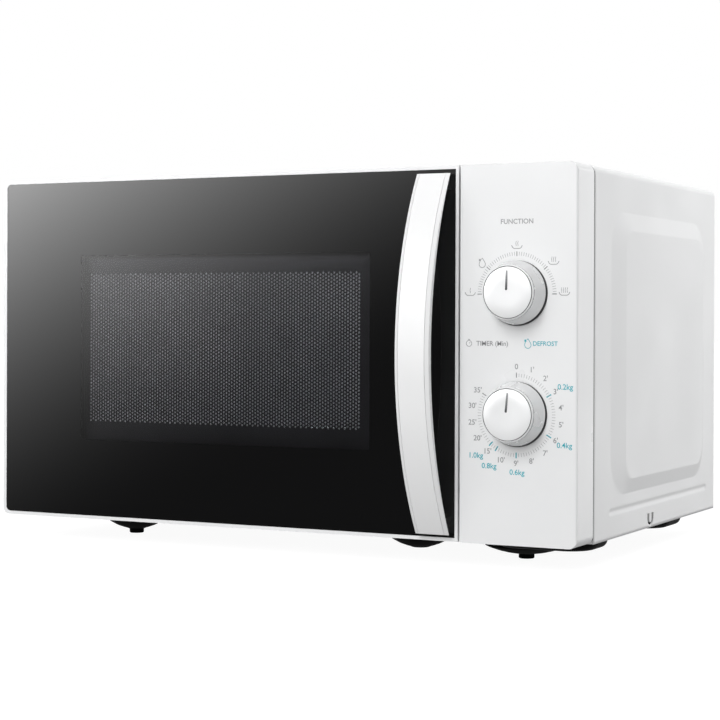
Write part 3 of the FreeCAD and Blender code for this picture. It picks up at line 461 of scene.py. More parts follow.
def emboss(y, z):
    """Height in mm of the pressed rectangle on a side wall."""
    foot = inside_by(y, z, *PRESSING_FOOT)
    crown = inside_by(y, z, *PRESSING_CROWN)
    if foot <= 0:
        return 0.0
    share = 1.0 if crown >= 0 else foot / (foot - crown)
    return EMBOSS * (0.95 * share + 0.05 * smooth_step(share))


def bead_depth(y, z):
    """Depth in mm of the long groove low on a side wall."""
    along = max(0.0, BEAD_NEAR - y, y - BEAD_FAR) / 2
    away = math.hypot(along, z - BEAD_HEIGHT) / BEAD_HALF
    return BEAD_DEEP * math.cos(away * math.pi / 2) ** 2 if away < 1 else 0.0


def wrap_section(inset, side_heights):
    """The wrap seen from the front at one depth: x, z, and which side it is on."""
    corner = max(WRAP_BEND - inset, 0.3)
    top = HEIGHT - inset
    left, right = inset, WIDTH - inset
    arc = [math.radians(90 * step / 6) for step in range(7)]
    up = [(left, min(z, top - corner), -1) for z in side_heights]
    first = [
        (left + corner - corner * math.cos(a), top - corner + corner * math.sin(a), 0)
        for a in arc
    ]
    across = [(left + corner + (right - left - 2 * corner) * k / 8, top, 0) for k in range(1, 8)]
    second = [(WIDTH - x, z, 0) for x, z, _ in reversed(first)]
    down = [(right, min(z, top - corner), 1) for z in reversed(side_heights)]
    return up + first + across + second + down


def make_casing():
    """The wrap with its pressed sides, turned back edge and tongue vents.

    Its points lie closest together along the groove and the pressing's edges.
    """
    heights = spaced(0, 14.0, 2.0) + spaced(14.8, 20.2, 0.45) + spaced(21, 25.8, 2.2)
    heights += spaced(26.3, 28.3, 0.5) + spaced(30, 35, 2.2) + spaced(36, 38, 0.5)
    heights += spaced(40, 198, 2.2) + spaced(200, 202, 0.5) + spaced(204, 211, 2.2)
    heights += spaced(212, 214, 0.5) + spaced(216, HEIGHT - 4.6, 2.2)
    depths = spaced(SHELL_FRONT, 56, 2.5) + spaced(58, 66, 0.5) + spaced(67, 85, 2.2)
    depths += spaced(86, 88, 0.5) + spaced(90, 258, 2.2) + spaced(259, 278, 0.5)
    depths += spaced(280, CASING_BACK - 5.5, 3)
    rows = [(y, 0.0) for y in depths]
    turn, lip = 5.0, 13.0
    for step in range(1, 9):
        angle = math.radians(90 * step / 8)
        rows.append((CASING_BACK - turn + turn * math.sin(angle), turn - turn * math.cos(angle)))
    rows.append((CASING_BACK, lip))
    points, faces = [], []
    for y, inset in rows:
        section = wrap_section(inset, heights)
        for x, z, side in section:
            push = side * (emboss(y, z) - bead_depth(y, z)) if side else 0.0
            points.append(at(x + push, y, z))
    width = len(section)
    for row in range(len(rows) - 1):
        for column in range(width - 1):
            first = row * width + column
            faces.append((first, first + 1, first + width + 1, first + width))
    made = piece("casing_shell", points, faces, WHITE_PAINT, "cabinet")
    thicken = made.modifiers.new("sheet", "SOLIDIFY")
    thicken.thickness = 1.0 * MM
    thicken.offset = -1.0
    cut_tongues(made)
    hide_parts("casing")


def cut_tongues(shell):
    """Opens a U-shaped slit low on each side, the tongue vent."""
    points, faces = [], []
    middle_y, low, rise = 144.5, 5.8, 4.0
    outer, outer_drop, inner, inner_drop = 6.3, 4.2, 2.7, 2.5
    outline = [(-outer, rise)]
    outline += [
        (-outer * math.cos(a), -outer_drop * math.sin(a))
        for a in [math.radians(180 * k / 10) for k in range(11)]
    ]
    outline += [(outer, rise), (inner, rise)]
    outline += [
        (inner * math.cos(a), -inner_drop * math.sin(a))
        for a in [math.radians(180 * k / 8) for k in range(9)]
    ]
    outline += [(-inner, rise)]
    for x in (0.0, WIDTH):
        faces += prism_faces(len(outline), len(points))
        for depth in (-4, 4):
            points += [at(x + depth, middle_y + y, low + z) for y, z in outline]
    mesh = bpy.data.meshes.new("tongue_cutter")
    mesh.from_pydata([tuple(point) for point in points], [], faces)
    face_outward(mesh, 0)
    cutter = placed("tongue_cutter", mesh)
    bpy.context.view_layer.update()
    opening = shell.modifiers.new("tongues", "BOOLEAN")
    opening.operation = "DIFFERENCE"
    opening.solver = "EXACT"
    opening.object = cutter
    graph = bpy.context.evaluated_depsgraph_get()
    baked = bpy.data.meshes.new_from_object(shell.evaluated_get(graph))
    shell.modifiers.clear()
    shell.data = baked
    bpy.data.objects.remove(cutter)


# ---------------------------------------------------------------- door screen

SCREEN_LOW, SCREEN_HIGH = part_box("door_screen")
# Left, right, lower and upper edge, in mm, of the perforated field, of the raised
# plateau round it and of the clear window printed on the door's glass.
FIELD = (70.7, 286.2, 68.5, 174.0)
PLATEAU = (66.5, 294.5, 56.0, 186.0)
APERTURE = (67.7, 296.2, 56.0, 186.0)
HOLE_PITCH = 2.4
HOLE_RADIUS = 0.78


def perforated_field(plane):
    """Staggered round holes in columns; each tile is a hexagon squared off."""
    left, right, low, high = FIELD
    columns = round((right - left) / (HOLE_PITCH * math.sqrt(0.75)))
    rows = round((high - low) / HOLE_PITCH)
    wide, tall = (right - left) / columns, (high - low) / rows
    ring = [math.radians(30 * k) for k in range(12)]
    points, faces = [], []
    for column in range(columns):
        middle_x = left + wide * (column + 0.5)
        shift = 0.5 if column % 2 else 0.0
        count = rows - (1 if column % 2 else 0)
        for row in range(count):
            middle_z = low + tall * (row + 0.5 + shift)
            start = len(points)
            for x, z in ((1, 0), (1, 1), (-1, 1), (-1, 0), (-1, -1), (1, -1)):
                points.append(at(middle_x + x * wide / 2, plane, middle_z + z * tall / 2))
            for depth in (0.0, 0.6):
                for a in ring:
                    x, z = HOLE_RADIUS * math.cos(a), HOLE_RADIUS * math.sin(a)
                    points.append(at(middle_x + x, plane + depth, middle_z + z))
            inner = start + 6
            for k in range(6):
                rim = (inner + (2 * k + 2) % 12, inner + 2 * k + 1, inner + 2 * k)
                faces.append((start + k, start + (k + 1) % 6, *rim))
            faces += joined_rings(2, 12, inner)
        if column % 2:
            for z in (low, high - tall / 2):
                start = len(points)
                for x, up in ((-1, 0), (1, 0), (1, 1), (-1, 1)):
                    points.append(at(middle_x + x * wide / 2, plane, z + up * tall / 2))
                faces.append((start, start + 1, start + 2, start + 3))
    return points, faces


def rounded_loop(rect, radius, y, steps=5):
    """A loop of points round a rectangle (x from, x to, z from, z to) at depth y."""
    left, right, low, high = rect
    corners = (
        (right - radius, high - radius, 0),
        (left + radius, high - radius, 90),
        (left + radius, low + radius, 180),
        (right - radius, low + radius, 270),
    )
    loop = []
    for x, z, start in corners:
        for step in range(steps + 1):
            angle = math.radians(start + 90 * step / steps)
            loop.append(at(x + radius * math.cos(angle), y, z + radius * math.sin(angle)))
    return loop


def grown(rect, by):
    return (rect[0] - by, rect[1] + by, rect[2] - by, rect[3] + by)


def make_door_screen():
    """Shield plate: perforated field on a raised plateau, folded edges behind."""
    plane = from_front(SCREEN_LOW.y)
    back = from_front(SCREEN_HIGH.y)
    edge = (
        from_left(SCREEN_LOW.x), from_left(SCREEN_HIGH.x),
        from_base(SCREEN_LOW.z), from_base(SCREEN_HIGH.z),
    )
    points, faces = perforated_field(plane)
    loops = [
        rounded_loop(FIELD, 0.01, plane),
        rounded_loop(PLATEAU, 2.5, plane),
        rounded_loop(grown(PLATEAU, 0.5), 3.0, plane + 0.1),
        rounded_loop(grown(PLATEAU, 3.2), 5.0, plane + 2.6),
        rounded_loop(grown(PLATEAU, 4.0), 6.0, plane + 2.9),
        rounded_loop(grown(edge, -1.0), 4.0, plane + 2.9),
        rounded_loop(edge, 4.5, plane + 3.7),
        rounded_loop(edge, 4.5, back),
    ]
    faces += joined_rings(len(loops), len(loops[0]), len(points))
    points += [point for loop in loops for point in loop]
    made = piece("screen_plate", points, faces, SCREEN_PAINT, "door")
    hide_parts("door_screen")


# ---------------------------------------------------------------- knobs

# How far in mm the pointer lies left of the knob's middle line.
POINTER_ASIDE = 0.9


def make_knob(name, node, joint, body):
    """Flared knob with a concave skirt, a bevelled ring and a flat cap set in it."""
    low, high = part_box(node)
    centre = Vector(JOINT_AT[joint])
    centre.y = high.y
    length = (high.y - low.y) / MM
    skirt = (high.x - low.x) / MM / 2
    neck = skirt - 2.9
    neck_at = length - 2.0
    roll_at = 3.6
    line_depth, line_width = 1.46, 0.46
    flare = []
    for step in range(13):
        share = step / 12
        flare.append((
            neck + (skirt - 0.5 - neck) * (1 - share) ** 1.4, roll_at + share * (neck_at - roll_at)
        ))
    profile = [
        (skirt - 4.5, 1.4), (skirt - 1.2, 1.2), (skirt - 0.5, 1.3), (skirt - 0.12, 1.6),
        (skirt, 2.1), (skirt - 0.1, 2.7), (skirt - 0.3, 3.2),
    ] + flare
    ring = neck - 0.35
    cap = ring - 0.95
    profile += [
        (neck - 0.4, length - 1.9), (neck - 0.4, length - 1.6), (neck - 0.02, length - 1.45),
        (ring, length - 0.5), (ring - 0.4, length - 0.25), (cap + 0.45, length - 0.3),
        (cap + 0.38, length - 0.9), (cap + 0.05, length - 0.9), (cap, length - 0.12),
        (cap - 0.25, length), (cap * 0.5, length), (0.02, length),
    ]
    points, faces = lathe(profile, 120, centre, (0, -1, 0))
    made = piece(name, points, faces, KNOB_SILVER, body)
    made.data.materials.append(KNOB_SKIRT)
    made.data.materials.append(GROOVE_PAINTED_SHADE)
    # The step under the ring and the thin groove round the cap take painted shade; the skirt takes
    # its own silvery finish.
    for face in made.data.polygons:
        depth = (centre.y - face.center.y) / MM
        out = math.hypot(face.center.x - centre.x, face.center.z - centre.z) / MM
        if depth < neck_at:
            face.material_index = 1
        elif depth < length - line_depth or (
            cap < out < cap + line_width and depth < length - 0.2
        ):
            face.material_index = 2
    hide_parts(node)


def make_dial_seat(name, joint):
    """Black ring on the panel behind a knob: painted shadow that shows as a dark crescent in the gap
    at the knob's rim.
    """
    # The ring sits a little right of and below the knob's axis, so its painted shadow shows thickest
    # at the lower right rim.
    aside, drop = 0.2, 0.35
    spot = JOINT_AT[joint]
    centre = Vector((spot[0] + aside * MM, PANEL_LOW.y, spot[2] - drop * MM))
    profile = [
        (19.0, -0.4), (20.1, -0.4), (20.5, -0.2), (20.6, 0.05), (20.5, 0.5),
        (20.2, 1.0), (19.4, 1.15), (16.0, 1.15), (15.8, 0.9), (15.8, 0.0),
    ]
    points, faces = lathe(profile, 96, centre, (0, -1, 0))
    piece(name, points, faces, BLACK_MOULDED, "cabinet")


def make_pointer(name, joint, body, node, turned):
    """Pointer set in the knob's cap, dark at its inner end and paler toward the rim."""
    low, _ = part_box(node)
    centre = Vector(JOINT_AT[joint])
    turn = Matrix.Rotation(math.radians(turned), 3, "Y")
    outline = [(-0.75, 1.7), (-0.6, 13.6), (0.6, 13.6), (0.75, 1.7), (0.4, 1.3), (-0.4, 1.3)]
    points = []
    for depth in (-0.06, 0.3):
        for x, z in outline:
            spot = turn @ Vector((x - POINTER_ASIDE, 0, z)) * MM
            points.append(Vector((centre.x + spot.x, low.y + depth * MM, centre.z + spot.z)))
    faces = prism_faces(len(outline))
    piece(name, points, faces, POINTER_INK, body, smooth=False)


# ---------------------------------------------------------------- tray

def make_tray():
    """Pressed glass tray: rolled rim, ripples underneath and three drive lugs."""
    low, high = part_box("glass_tray")
    middle = (low + high) / 2
    reach = (high.x - low.x) / MM / 2
    lug_length, lug_circle = 6.0, 13
    profile = [(0.02, 0.0), (9.0, 0.0)]
    for ring in range(20, 98, 12):
        profile += [(ring, 0.0), (ring + 1.5, 0.5), (ring + 4.5, 0.5), (ring + 6, 0.0)]
    profile += [
        (reach - 20, 0.0), (reach - 14, 0.7), (reach - 10, 2.1), (reach - 5, 6.2),
        (reach - 2, 9.2), (reach - 0.4, 11.2), (reach, 12.0), (reach - 0.3, 12.7),
        (reach - 0.9, 13.0), (reach - 1.7, 12.8), (reach - 4, 11.0), (reach - 8, 8.2),
        (reach - 12, 6.2), (reach - 16, 5.4), (reach - 21, 5.0), (reach - 60, 5.0), (0.02, 5.0),
    ]
    foot = Vector((middle.x, middle.y, low.z + lug_length * MM))
    points, faces = lathe(profile, 144, foot, (0, 0, 1))
    for number in range(3):
        angle = math.radians(60 + 120 * number)
        spot = foot + Vector((math.cos(angle), math.sin(angle), 0)) * lug_circle * MM
        lug = [(0.02, -lug_length), (2.9, -lug_length), (3.5, -lug_length + 0.6), (3.5, 0.1)]
        more, sides = lathe(lug, 24, spot, (0, 0, 1))
        faces += [tuple(index + len(points) for index in side) for side in sides]
        points += more
    made = piece("tray_glass", points, faces, CLEAR_GLASS, "tray")
    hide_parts("glass_tray")


# ---------------------------------------------------------------- handle

def make_handle():
    """Bowed bar, thin at its ends, with a fine groove between its face and each bevel."""
    low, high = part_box("handle")
    left, wide = from_left(low.x), (high.x - low.x) / MM
    start, end = from_base(low.z), from_base(high.z)
    middle, half = (start + end) / 2, (end - start) / 2
    reach, bow = -from_front(low.y), 31.8
    radius = (half ** 2 + bow ** 2) / (2 * bow)
    bevel, groove = 2.3, 0.5
    thickest, thinning = 5.2, 3.2
    pad_aside, pad_near, pad_far = 4.6, 0.8, 10.0

    def front(z):
        return radius - reach - math.sqrt(radius ** 2 - (z - middle) ** 2)

    rows = [start, start + 0.3] + spaced(start + 1.5, end - 1.5, 1.6) + [end - 0.3, end]
    points = []
    for row, z in enumerate(rows):
        thick = thickest - thinning * ((z - middle) / half) ** 2
        tuck = 0.3 if row in (0, len(rows) - 1) else 0.0
        right_half = [
            (wide / 2 - bevel - groove, tuck), (wide / 2 - bevel - groove * 0.5, 0.9),
            (wide / 2 - bevel, 0.12 + tuck), (wide / 2 - 0.15, 1.3), (wide / 2, 1.5),
            (wide / 2, thick - 0.5), (wide / 2 - 0.5, thick),
        ]
        section = right_half + [(-across, depth) for across, depth in reversed(right_half)]
        for across, depth in section:
            points.append(at(left + wide / 2 + across, front(z) + depth, z))
    count = len(section)
    faces = joined_rings(len(rows), count)
    faces.append(tuple(range(count)))
    faces.append(tuple(reversed(range(len(points) - count, len(points)))))
    for first, last in ((start + pad_near, start + pad_far), (end - pad_far, end - pad_near)):
        base = len(points)
        for inset, depth in ((0.0, 0.3), (0.0, -1.0), (1.0, None)):
            near, far = pad_aside + inset, wide - pad_aside - inset
            for x, z in ((near, first), (far, first), (far, last), (near, last)):
                y = front(z) + 1.0 if depth is None else depth
                points.append(at(left + x, y, z))
        faces += joined_rings(3, 4, base)
        faces += [(base + 3, base + 2, base + 1, base), (base + 8, base + 9, base + 10, base + 11)]
    made = piece("handle_bar", points, faces, WHITE_GLOSS, "door", smooth=False)
    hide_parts("handle")


# ---------------------------------------------------------------- seam

def make_seam_strip():
    """Dark strip in the joint between the control panel and the casing: painted shade in the gap."""
    panel_back, wrap_front = from_front(PANEL_HIGH.y), SHELL_FRONT
    corner, wide = 5.0, 1.6
    right, top, left_end = WIDTH - 0.25, HEIGHT - 0.25, 363.0
    slant = math.sqrt(0.5)
    path = [(right, z, -1.0, 0.0) for z in spaced(3.0, top - corner, 8)[:-1]]
    for angle in [math.radians(90 * k / 8) for k in range(9)]:
        x, z = corner * (math.cos(angle) - 1), corner * (math.sin(angle) - 1)
        path.append((right + x, top + z, -slant, -slant))
    path += [(x, top, 0.0, -1.0) for x in spaced(right - corner - 8, left_end, 8)]
    near, far = panel_back + 0.02, wrap_front - 0.02
    points = []
    for x, z, inward, down in path:
        for share, y in ((0, near), (0, far), (wide, far), (wide, near)):
            points.append(at(x + inward * share, y, z + down * share))
    last = len(points) - 4
    faces = joined_rings(len(path), 4)
    faces += [(3, 2, 1, 0), (last, last + 1, last + 2, last + 3)]
    piece("seam_shade_strip", points, faces, SEAM_PAINTED_SHADE, "cabinet", smooth=False)


# ---------------------------------------------------------------- feet and spring

def make_foot(name, across, behind, curve, padded=True):
    """Ribbed bowl of a foot, with its rubber pad if it has one, turned about its axis."""
    low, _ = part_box("feet")
    pad, bowl, brim = 5.3, -14.5, 27.9
    deep = from_base(low.z) if padded else bowl
    profile = [(0.02, deep + 0.5), (1.6, deep + 0.5), (2.0, deep), (pad - 0.5, deep)]
    if padded:
        profile += [(pad, deep + 0.5), (pad, bowl - 0.1)]
    profile += [(pad + 0.6, bowl + 0.15)]
    for step in range(1, 13):
        radius = pad + 0.6 + (brim - pad - 0.6) * step / 12
        height = bowl + curve - math.sqrt(curve ** 2 - radius ** 2)
        if height < -0.1:
            profile.append((radius, height + (0.1 if step % 3 == 0 else 0.0)))
    profile.append((profile[-1][0], -0.05))
    profile = [(radius, -height) for radius, height in profile]
    points, faces = lathe(profile, 64, at(across, behind, 0), (0, 0, -1))
    foot = piece(name, points, faces, FOOT_RUBBER_AND_SHADE, "cabinet")
    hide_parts("feet")


def make_feet():
    """Four feet, each with its place and its bowl's curve, and the spare bowl body."""
    make_foot("foot_left_front", 64, 77, 35)
    make_foot("foot_right_front", 376, 77, 70)
    make_foot("foot_left_rear", 64, 257, 35)
    make_foot("foot_right_rear", 376, 257, 35)
    make_foot("foot_spare", 298, 76, 35, padded=False)


# Share of the coil's climb that starts and stops gently, which closes its end turns.
CLOSED_ENDS = 0.35


def make_latch_spring():
    """Coiled wire that pushes the latch bar down; the real one shortens as the bar lifts, this one
    keeps the part's length.
    """
    low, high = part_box("latch_spring")
    centre = (low + high) / 2
    wire, turns, steps, sides = 0.35 * MM, 7, 168, 8
    coil = (high.x - low.x) / 2 - wire
    points = []
    for step in range(steps + 1):
        share = step / steps
        angle = 2 * math.pi * turns * share
        climb = smooth_step(share) * CLOSED_ENDS + share * (1 - CLOSED_ENDS)
        out = Vector((math.cos(angle), math.sin(angle), 0))
        middle = Vector((centre.x, centre.y, low.z + wire + climb * (high.z - low.z - 2 * wire)))
        for side in range(sides):
            turn = 2 * math.pi * side / sides
            points.append(
                middle + out * (coil + wire * math.cos(turn)) + Vector((0, 0, wire * math.sin(turn)))
            )
    faces = joined_rings(steps + 1, sides)
    faces.append(tuple(range(sides)))
    faces.append(tuple(reversed(range(steps * sides, steps * sides + sides))))
    spring = piece("latch_spring_coil", points, faces, BRIGHT_STEEL, "door")
    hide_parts("latch_spring")
    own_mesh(spring)


# ---------------------------------------------------------------- printing

# In mm: how far ink stands proud, how far a scale's middle lies below its knob's
# axis; and the font size for each mm of a capital's height.
INK = 0.06
SCALE_DROP = 0.9
SIZE_FOR_HEIGHT = 1.37
INK_PLANE = from_front(PANEL_LOW.y)


class Print:
    """Gathers thin ink shapes on the panel's face into one piece."""

    def __init__(self):
        self.points = []
        self.faces = []

    def shape(self, outline):
        self.faces += prism_faces(len(outline), len(self.points))
        for depth in (-INK, 0.02):
            self.points += [at(x, INK_PLANE + depth, z) for x, z in outline]

    def stroke(self, path, width):
        """A line of constant width through points, as one quad for each stretch."""
        for (x0, z0), (x1, z1) in zip(path, path[1:]):
            run = math.hypot(x1 - x0, z1 - z0)
            if run < 1e-6:
                continue
            nx, nz = -(z1 - z0) / run * width / 2, (x1 - x0) / run * width / 2
            self.shape([
                (x0 + nx, z0 + nz), (x1 + nx, z1 + nz), (x1 - nx, z1 - nz), (x0 - nx, z0 - nz),
            ])

    def tick(self, centre, angle, inner, outer, width):
        a = math.radians(angle)
        x, z = centre
        self.stroke([(x + r * math.sin(a), z + r * math.cos(a)) for r in (inner, outer)], width)

    def text(self, words, x, z, tall):
        """Words centred on a place, as tall as given, in plain sans lettering."""
        curve = bpy.data.curves.new("lettering", "FONT")
        curve.body = words
        curve.size = tall * SIZE_FOR_HEIGHT
        curve.offset = 0.05
        curve.align_x = "CENTER"
        curve.align_y = "CENTER"
        curve.resolution_u = 3
        carrier = placed("lettering", curve)
        bpy.context.view_layer.update()
        graph = bpy.context.evaluated_depsgraph_get()
        flat = bpy.data.meshes.new_from_object(carrier.evaluated_get(graph))
        start = len(self.points)
        for vertex in flat.vertices:
            self.points.append(at(x + vertex.co.x, INK_PLANE - INK, z + vertex.co.y))
        for polygon in flat.polygons:
            self.faces.append(tuple(start + index for index in polygon.vertices))
        bpy.data.objects.remove(carrier)
        bpy.data.curves.remove(curve)
        bpy.data.meshes.remove(flat)

    def finish(self, name, ink):
        mesh = bpy.data.meshes.new(name)
        mesh.from_pydata([tuple(point) for point in self.points], [], self.faces)
        mesh.materials.append(ink)
        made = placed(name, mesh)
        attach(made, "cabinet")


def arc_path(x, z, radius, start, end, steps=10):
    """Points round a circle, angles in degrees clockwise from the top."""
    angles = [math.radians(start + (end - start) * k / steps) for k in range(steps + 1)]
    return [(x + radius * math.sin(a), z + radius * math.cos(a)) for a in angles]


def bowl_icon(ink, x, z, waves):
    """A bowl with heat waves above it."""
    bowl = [(-3.6, -0.2), (-2.9, -1.6), (-1.9, -2.2), (1.9, -2.2), (2.9, -1.6), (3.6, -0.2)]
    ink.stroke([(x + across, z + up) for across, up in bowl], 0.42)
    for number in range(waves):
        across = x + (number - (waves - 1) / 2) * 1.25
        wave = [(across + 0.17 * math.sin(k * 1.3), z - 0.7 + k * 0.47) for k in range(8)]
        ink.stroke(wave, 0.28)


def thaw_icon(ink, x, z):
    """A drop with a small ice crystal at its upper left."""
    ink.stroke([(x - 0.7, z + 2.2), (x + 0.1, z + 3.0), (x + 1.86, z + 0.2)], 0.38)
    ink.stroke(arc_path(x, z - 0.9, 2.15, 60, 300, 14), 0.38)
    ink.stroke([(x - 1.86, z + 0.2), (x - 1.5, z + 1.1)], 0.38)
    ink.stroke([(x - 2.3, z + 1.8), (x - 1.0, z + 1.8)], 1.3)


def stopwatch_icon(ink, x, z):
    """A round clock face with two hands as one stroke, and a button on top."""
    ink.stroke(arc_path(x, z, 1.9, 0, 360, 16), 0.35)
    ink.stroke([(x, z), (x + 0.8, z + 0.9)], 0.3)
    ink.stroke([(x - 0.7, z + 2.6), (x + 0.7, z + 2.6)], 0.4)
    ink.stroke([(x, z + 1.9), (x, z + 2.6)], 0.35)


def dial_place(joint):
    """Middle of a dial's printed scale, which sits a little below the knob's axis."""
    spot = JOINT_AT[joint]
    return from_left(spot[0]), from_base(spot[2]) - SCALE_DROP


def print_function_scale(grey):
    """Half a turn of ticks with an icon at each setting: heat waves, or thawing for none."""
    centre = dial_place("function_turn")
    short_tick, long_tick = (24.2, 26.6, 0.25), (23.8, 26.8, 0.6)
    majors = {-90: 1, -50: 0, 0: 2, 50: 3, 90: 4}
    for number in range(51):
        grey.tick(centre, -90 + 3.6 * number, *short_tick)
    for angle, waves in majors.items():
        grey.tick(centre, angle, *long_tick)
        reach = {-90: 31.8, 50: 32.1, 90: 31.8}.get(angle, 30.8)
        lift = 1.4 if abs(angle) == 90 else 0.0
        a = math.radians(angle)
        x, z = centre[0] + reach * math.sin(a), centre[1] + reach * math.cos(a) + lift
        if waves:
            bowl_icon(grey, x, z, waves)
        else:
            thaw_icon(grey, x, z)
    grey.text("FUNCTION", centre[0], centre[1] + 45.5, 3.2)


def print_timer_scale(grey, cyan):
    """Ticks and minutes, the thawing weights outside them and the words above."""
    centre = dial_place("timer_turn")
    short_tick, long_tick, thaw_tick = (24.0, 26.3, 0.22), (23.6, 26.8, 0.6), (23.4, 27.0, 0.75)
    for number in range(76):
        grey.tick(centre, 4 * number, *short_tick)
    for angle in (0, 300):
        grey.tick(centre, angle, *long_tick)
    out, tall = 30.4, 3.5
    marks = [str(number) + ("'" if number else "") for number in range(10)]
    marks += [f"{number}'" for number in (10, 15, 20, 25, 30, 35)]
    for number, mark in enumerate(marks):
        a = math.radians(20 * number)
        grey.text(mark, centre[0] + out * math.sin(a), centre[1] + out * math.cos(a), tall)
    for angle in (60, 120, 180, 212, 223):
        cyan.tick(centre, angle, *thaw_tick)
    weights = (("0.2kg", 32.6, 18.2), ("0.4kg", 32.2, -18.1), ("0.6kg", 0.6, -36.0),
               ("0.8kg", -18.4, -32.6), ("1.0kg", -27.6, -26.2))
    for words, x, z in weights:
        cyan.text(words, centre[0] + x, centre[1] + z, tall)
    middle = centre[1] + 44.8
    stopwatch_icon(grey, centre[0] - 32.5, middle)
    grey.text("TIMER (Min)", centre[0] - 16.5, middle, 3.1)
    thaw_icon(cyan, centre[0] + 7.6, middle + 0.3)
    cyan.text("DEFROST", centre[0] + 19.2, middle + 0.2, 2.9)


def print_panel():
    """Both dials' scales, icons and words, one piece for each ink."""
    grey, cyan = Print(), Print()
    print_function_scale(grey)
    print_timer_scale(grey, cyan)
    grey.finish("panel_print_grey", GREY_INK)
    cyan.finish("panel_print_cyan", CYAN_INK)


# ---------------------------------------------------------------- studio

CAMERA_AT = at(846.05, -1092.79, 142.34)
CAMERA_YAW = math.radians(27.0)
CAMERA_ROLL = math.radians(0.23)
WORLD_ABOVE = 0.6
WORLD_BELOW = 0.4
KEY_POWER = 33.5
SIDE_POWER = 4.5
SHEEN_POWER = 7
TOP_POWER = 0.3


def make_camera():
    """Long lens, level, from the oven's right front."""
    data = bpy.data.cameras.new("camera")
    data.sensor_width = 36.0
    data.lens = 93.71
    data.shift_y = -0.0574
    data.clip_start = 0.05
    data.clip_end = 50
    camera = placed("camera", data)
    ahead = Vector((-math.sin(CAMERA_YAW), math.cos(CAMERA_YAW), 0))
    right = Vector((math.cos(CAMERA_YAW), math.sin(CAMERA_YAW), 0))
    up = Vector((0, 0, 1))
    side = right * math.cos(CAMERA_ROLL) + up * math.sin(CAMERA_ROLL)
    top = -right * math.sin(CAMERA_ROLL) + up * math.cos(CAMERA_ROLL)
    turn = Matrix((side, top, -ahead)).transposed()
    camera.matrix_world = Matrix.Translation(CAMERA_AT) @ turn.to_4x4()
    bpy.context.scene.camera = camera


def area_light(name, place, target, size, power):
    data = bpy.data.lights.new(name, "AREA")
    data.shape = "RECTANGLE"
    data.size, data.size_y = size
    data.energy = power
    lamp = placed(name, data)
    lamp.location = place
    lamp.rotation_euler = (Vector(target) - Vector(place)).to_track_quat("-Z", "Y").to_euler()


def make_world():
    """White to the camera; as light it is bright overhead and dim from below."""
    world = bpy.data.worlds.new("studio")
    world.use_nodes = True
    tree = world.node_tree
    tree.nodes.clear()
    split = split_place(tree, "Generated")
    upward = remap(tree, split, "Z", (-0.35, 0.5), (WORLD_BELOW, WORLD_ABOVE))
    upward.interpolation_type = "SMOOTHSTEP"
    lit = tree.nodes.new("ShaderNodeBackground")
    lit.inputs["Color"].default_value = (1, 1, 1, 1)
    link(tree, upward, "Result", lit, "Strength")
    seen = tree.nodes.new("ShaderNodeBackground")
    seen.inputs["Color"].default_value = (1, 1, 1, 1)
    seen.inputs["Strength"].default_value = 1.0
    path = tree.nodes.new("ShaderNodeLightPath")
    choose = tree.nodes.new("ShaderNodeMixShader")
    link(tree, path, "Is Camera Ray", choose, 0)
    link(tree, lit, 0, choose, 1)
    link(tree, seen, 0, choose, 2)
    output = tree.nodes.new("ShaderNodeOutputWorld")
    link(tree, choose, 0, output, "Surface")
    bpy.context.scene.world = world


def floor_material():
    """Nearly white floor, lifted by a glow of its own so that shadows stay pale."""
    made = surface("pale_floor", (0.12, 0.12, 0.12), 0.9, patch=2, change=0.01)
    principled = made.node_tree.nodes["Principled BSDF"]
    principled.inputs["Emission Color"].default_value = (1, 1, 1, 1)
    principled.inputs["Emission Strength"].default_value = 0.945
    return made


def square_sheet(name, half, finish):
    """A flat square, 2 half metres wide."""
    mesh = bpy.data.meshes.new(name)
    mesh.from_pydata(
        [(-half, -half, 0), (half, -half, 0), (half, half, 0), (-half, half, 0)],
        [], [(0, 1, 2, 3)],
    )
    mesh.materials.append(finish)
    return placed(name, mesh)


def make_floor():
    """Plain pale floor that catches shadows but throws no light back up."""
    floor = square_sheet("floor", 12.0, floor_material())
    for flag in ("visible_glossy", "visible_diffuse", "visible_shadow", "visible_transmission"):
        setattr(floor, flag, False)


def make_studio():
    """White room, pale floor, four soft lamps and the card that the glass mirrors.

    The sheen lamp stands low behind the oven, tall and weak, and shows as a soft
    gloss on the side wall that faces the camera.
    """
    bpy.context.scene.view_settings.view_transform = "Standard"
    make_world()
    make_floor()
    area_light("key", (-0.05, -2.2, 1.35), (0.1, 0, 0.12), (0.6, 1.6), KEY_POWER)
    area_light("side", (0.75, 0.35, 0.9), (0.22, 0.0, 0.2), (0.5, 0.5), SIDE_POWER)
    area_light("sheen", (1.15, 2.75, 0.32), (0.22, 0.0, 0.12), (0.9, 1.5), SHEEN_POWER)
    area_light("overhead", (0.0, 0.2, 1.8), (0, 0, 0.2), (1.4, 1.4), TOP_POWER)
    make_card()


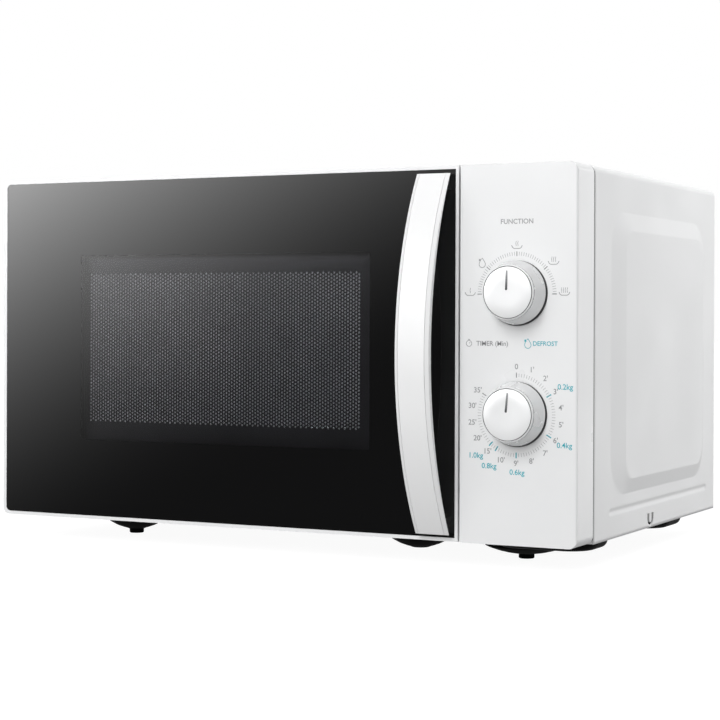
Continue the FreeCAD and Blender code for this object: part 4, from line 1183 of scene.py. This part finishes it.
def card_material():
    """A glow that is brightest at the card's upper left."""
    made = bpy.data.materials.new("reflection_card")
    made.use_nodes = True
    tree = made.node_tree
    tree.nodes.clear()
    output = tree.nodes.new("ShaderNodeOutputMaterial")
    glow = tree.nodes.new("ShaderNodeEmission")
    glow.inputs["Color"].default_value = (1, 1, 1, 1)
    place = tree.nodes.new("ShaderNodeTexCoord")
    slant = tree.nodes.new("ShaderNodeVectorMath")
    slant.operation = "DOT_PRODUCT"
    slant.inputs[1].default_value = (-0.6, 1.0, 0.0)
    link(tree, place, "Object", slant, 0)
    rise = remap(tree, slant, "Value", (-0.2, 0.55))
    bend = tree.nodes.new("ShaderNodeMath")
    bend.operation = "POWER"
    bend.inputs[1].default_value = 3.0
    link(tree, rise, "Result", bend, 0)
    strength = remap(tree, bend, 0, new=(0.1, 11.0))
    link(tree, strength, "Result", glow, "Strength")
    link(tree, glow, 0, output, "Surface")
    return made


def make_card():
    """A card off to the front left that shows only as a reflection in the door's glass."""
    card = square_sheet("reflection_card", 0.75, card_material())
    glass = at(170, 0, 120)
    mirrored = Vector((-math.sin(CAMERA_YAW), -math.cos(CAMERA_YAW), 0))
    right = Vector((math.cos(CAMERA_YAW), -math.sin(CAMERA_YAW), 0))
    turn = Matrix((right, Vector((0, 0, 1)), -mirrored)).transposed()
    away = 1.6
    card.matrix_world = Matrix.Translation(glass + mirrored * away) @ turn.to_4x4()
    for flag in ("visible_camera", "visible_diffuse", "visible_shadow", "visible_transmission"):
        setattr(card, flag, False)


def make_oven_lamp():
    """The oven's own lamp, faint, high inside the cavity."""
    data = bpy.data.lights.new("oven_lamp", "POINT")
    data.energy = 0.5
    data.shadow_soft_size = 0.03
    placed("oven_lamp", data).location = at(180, 150, 190)


make_camera()
make_studio()
dress_nodes()
make_casing()
make_door_screen()
make_knob("function_knob_cap", "function_knob", "function_turn", "function_dial")
make_knob("timer_knob_cap", "timer_knob", "timer_turn", "timer_dial")
make_pointer("function_pointer", "function_turn", "function_dial", "function_knob", 2.0)
make_pointer("timer_pointer", "timer_turn", "timer_dial", "timer_knob", 5.0)
make_dial_seat("function_rim_shadow", "function_turn")
make_dial_seat("timer_rim_shadow", "timer_turn")
print_panel()
make_handle()
make_latch_spring()
make_seam_strip()
make_tray()
make_feet()
make_oven_lamp()
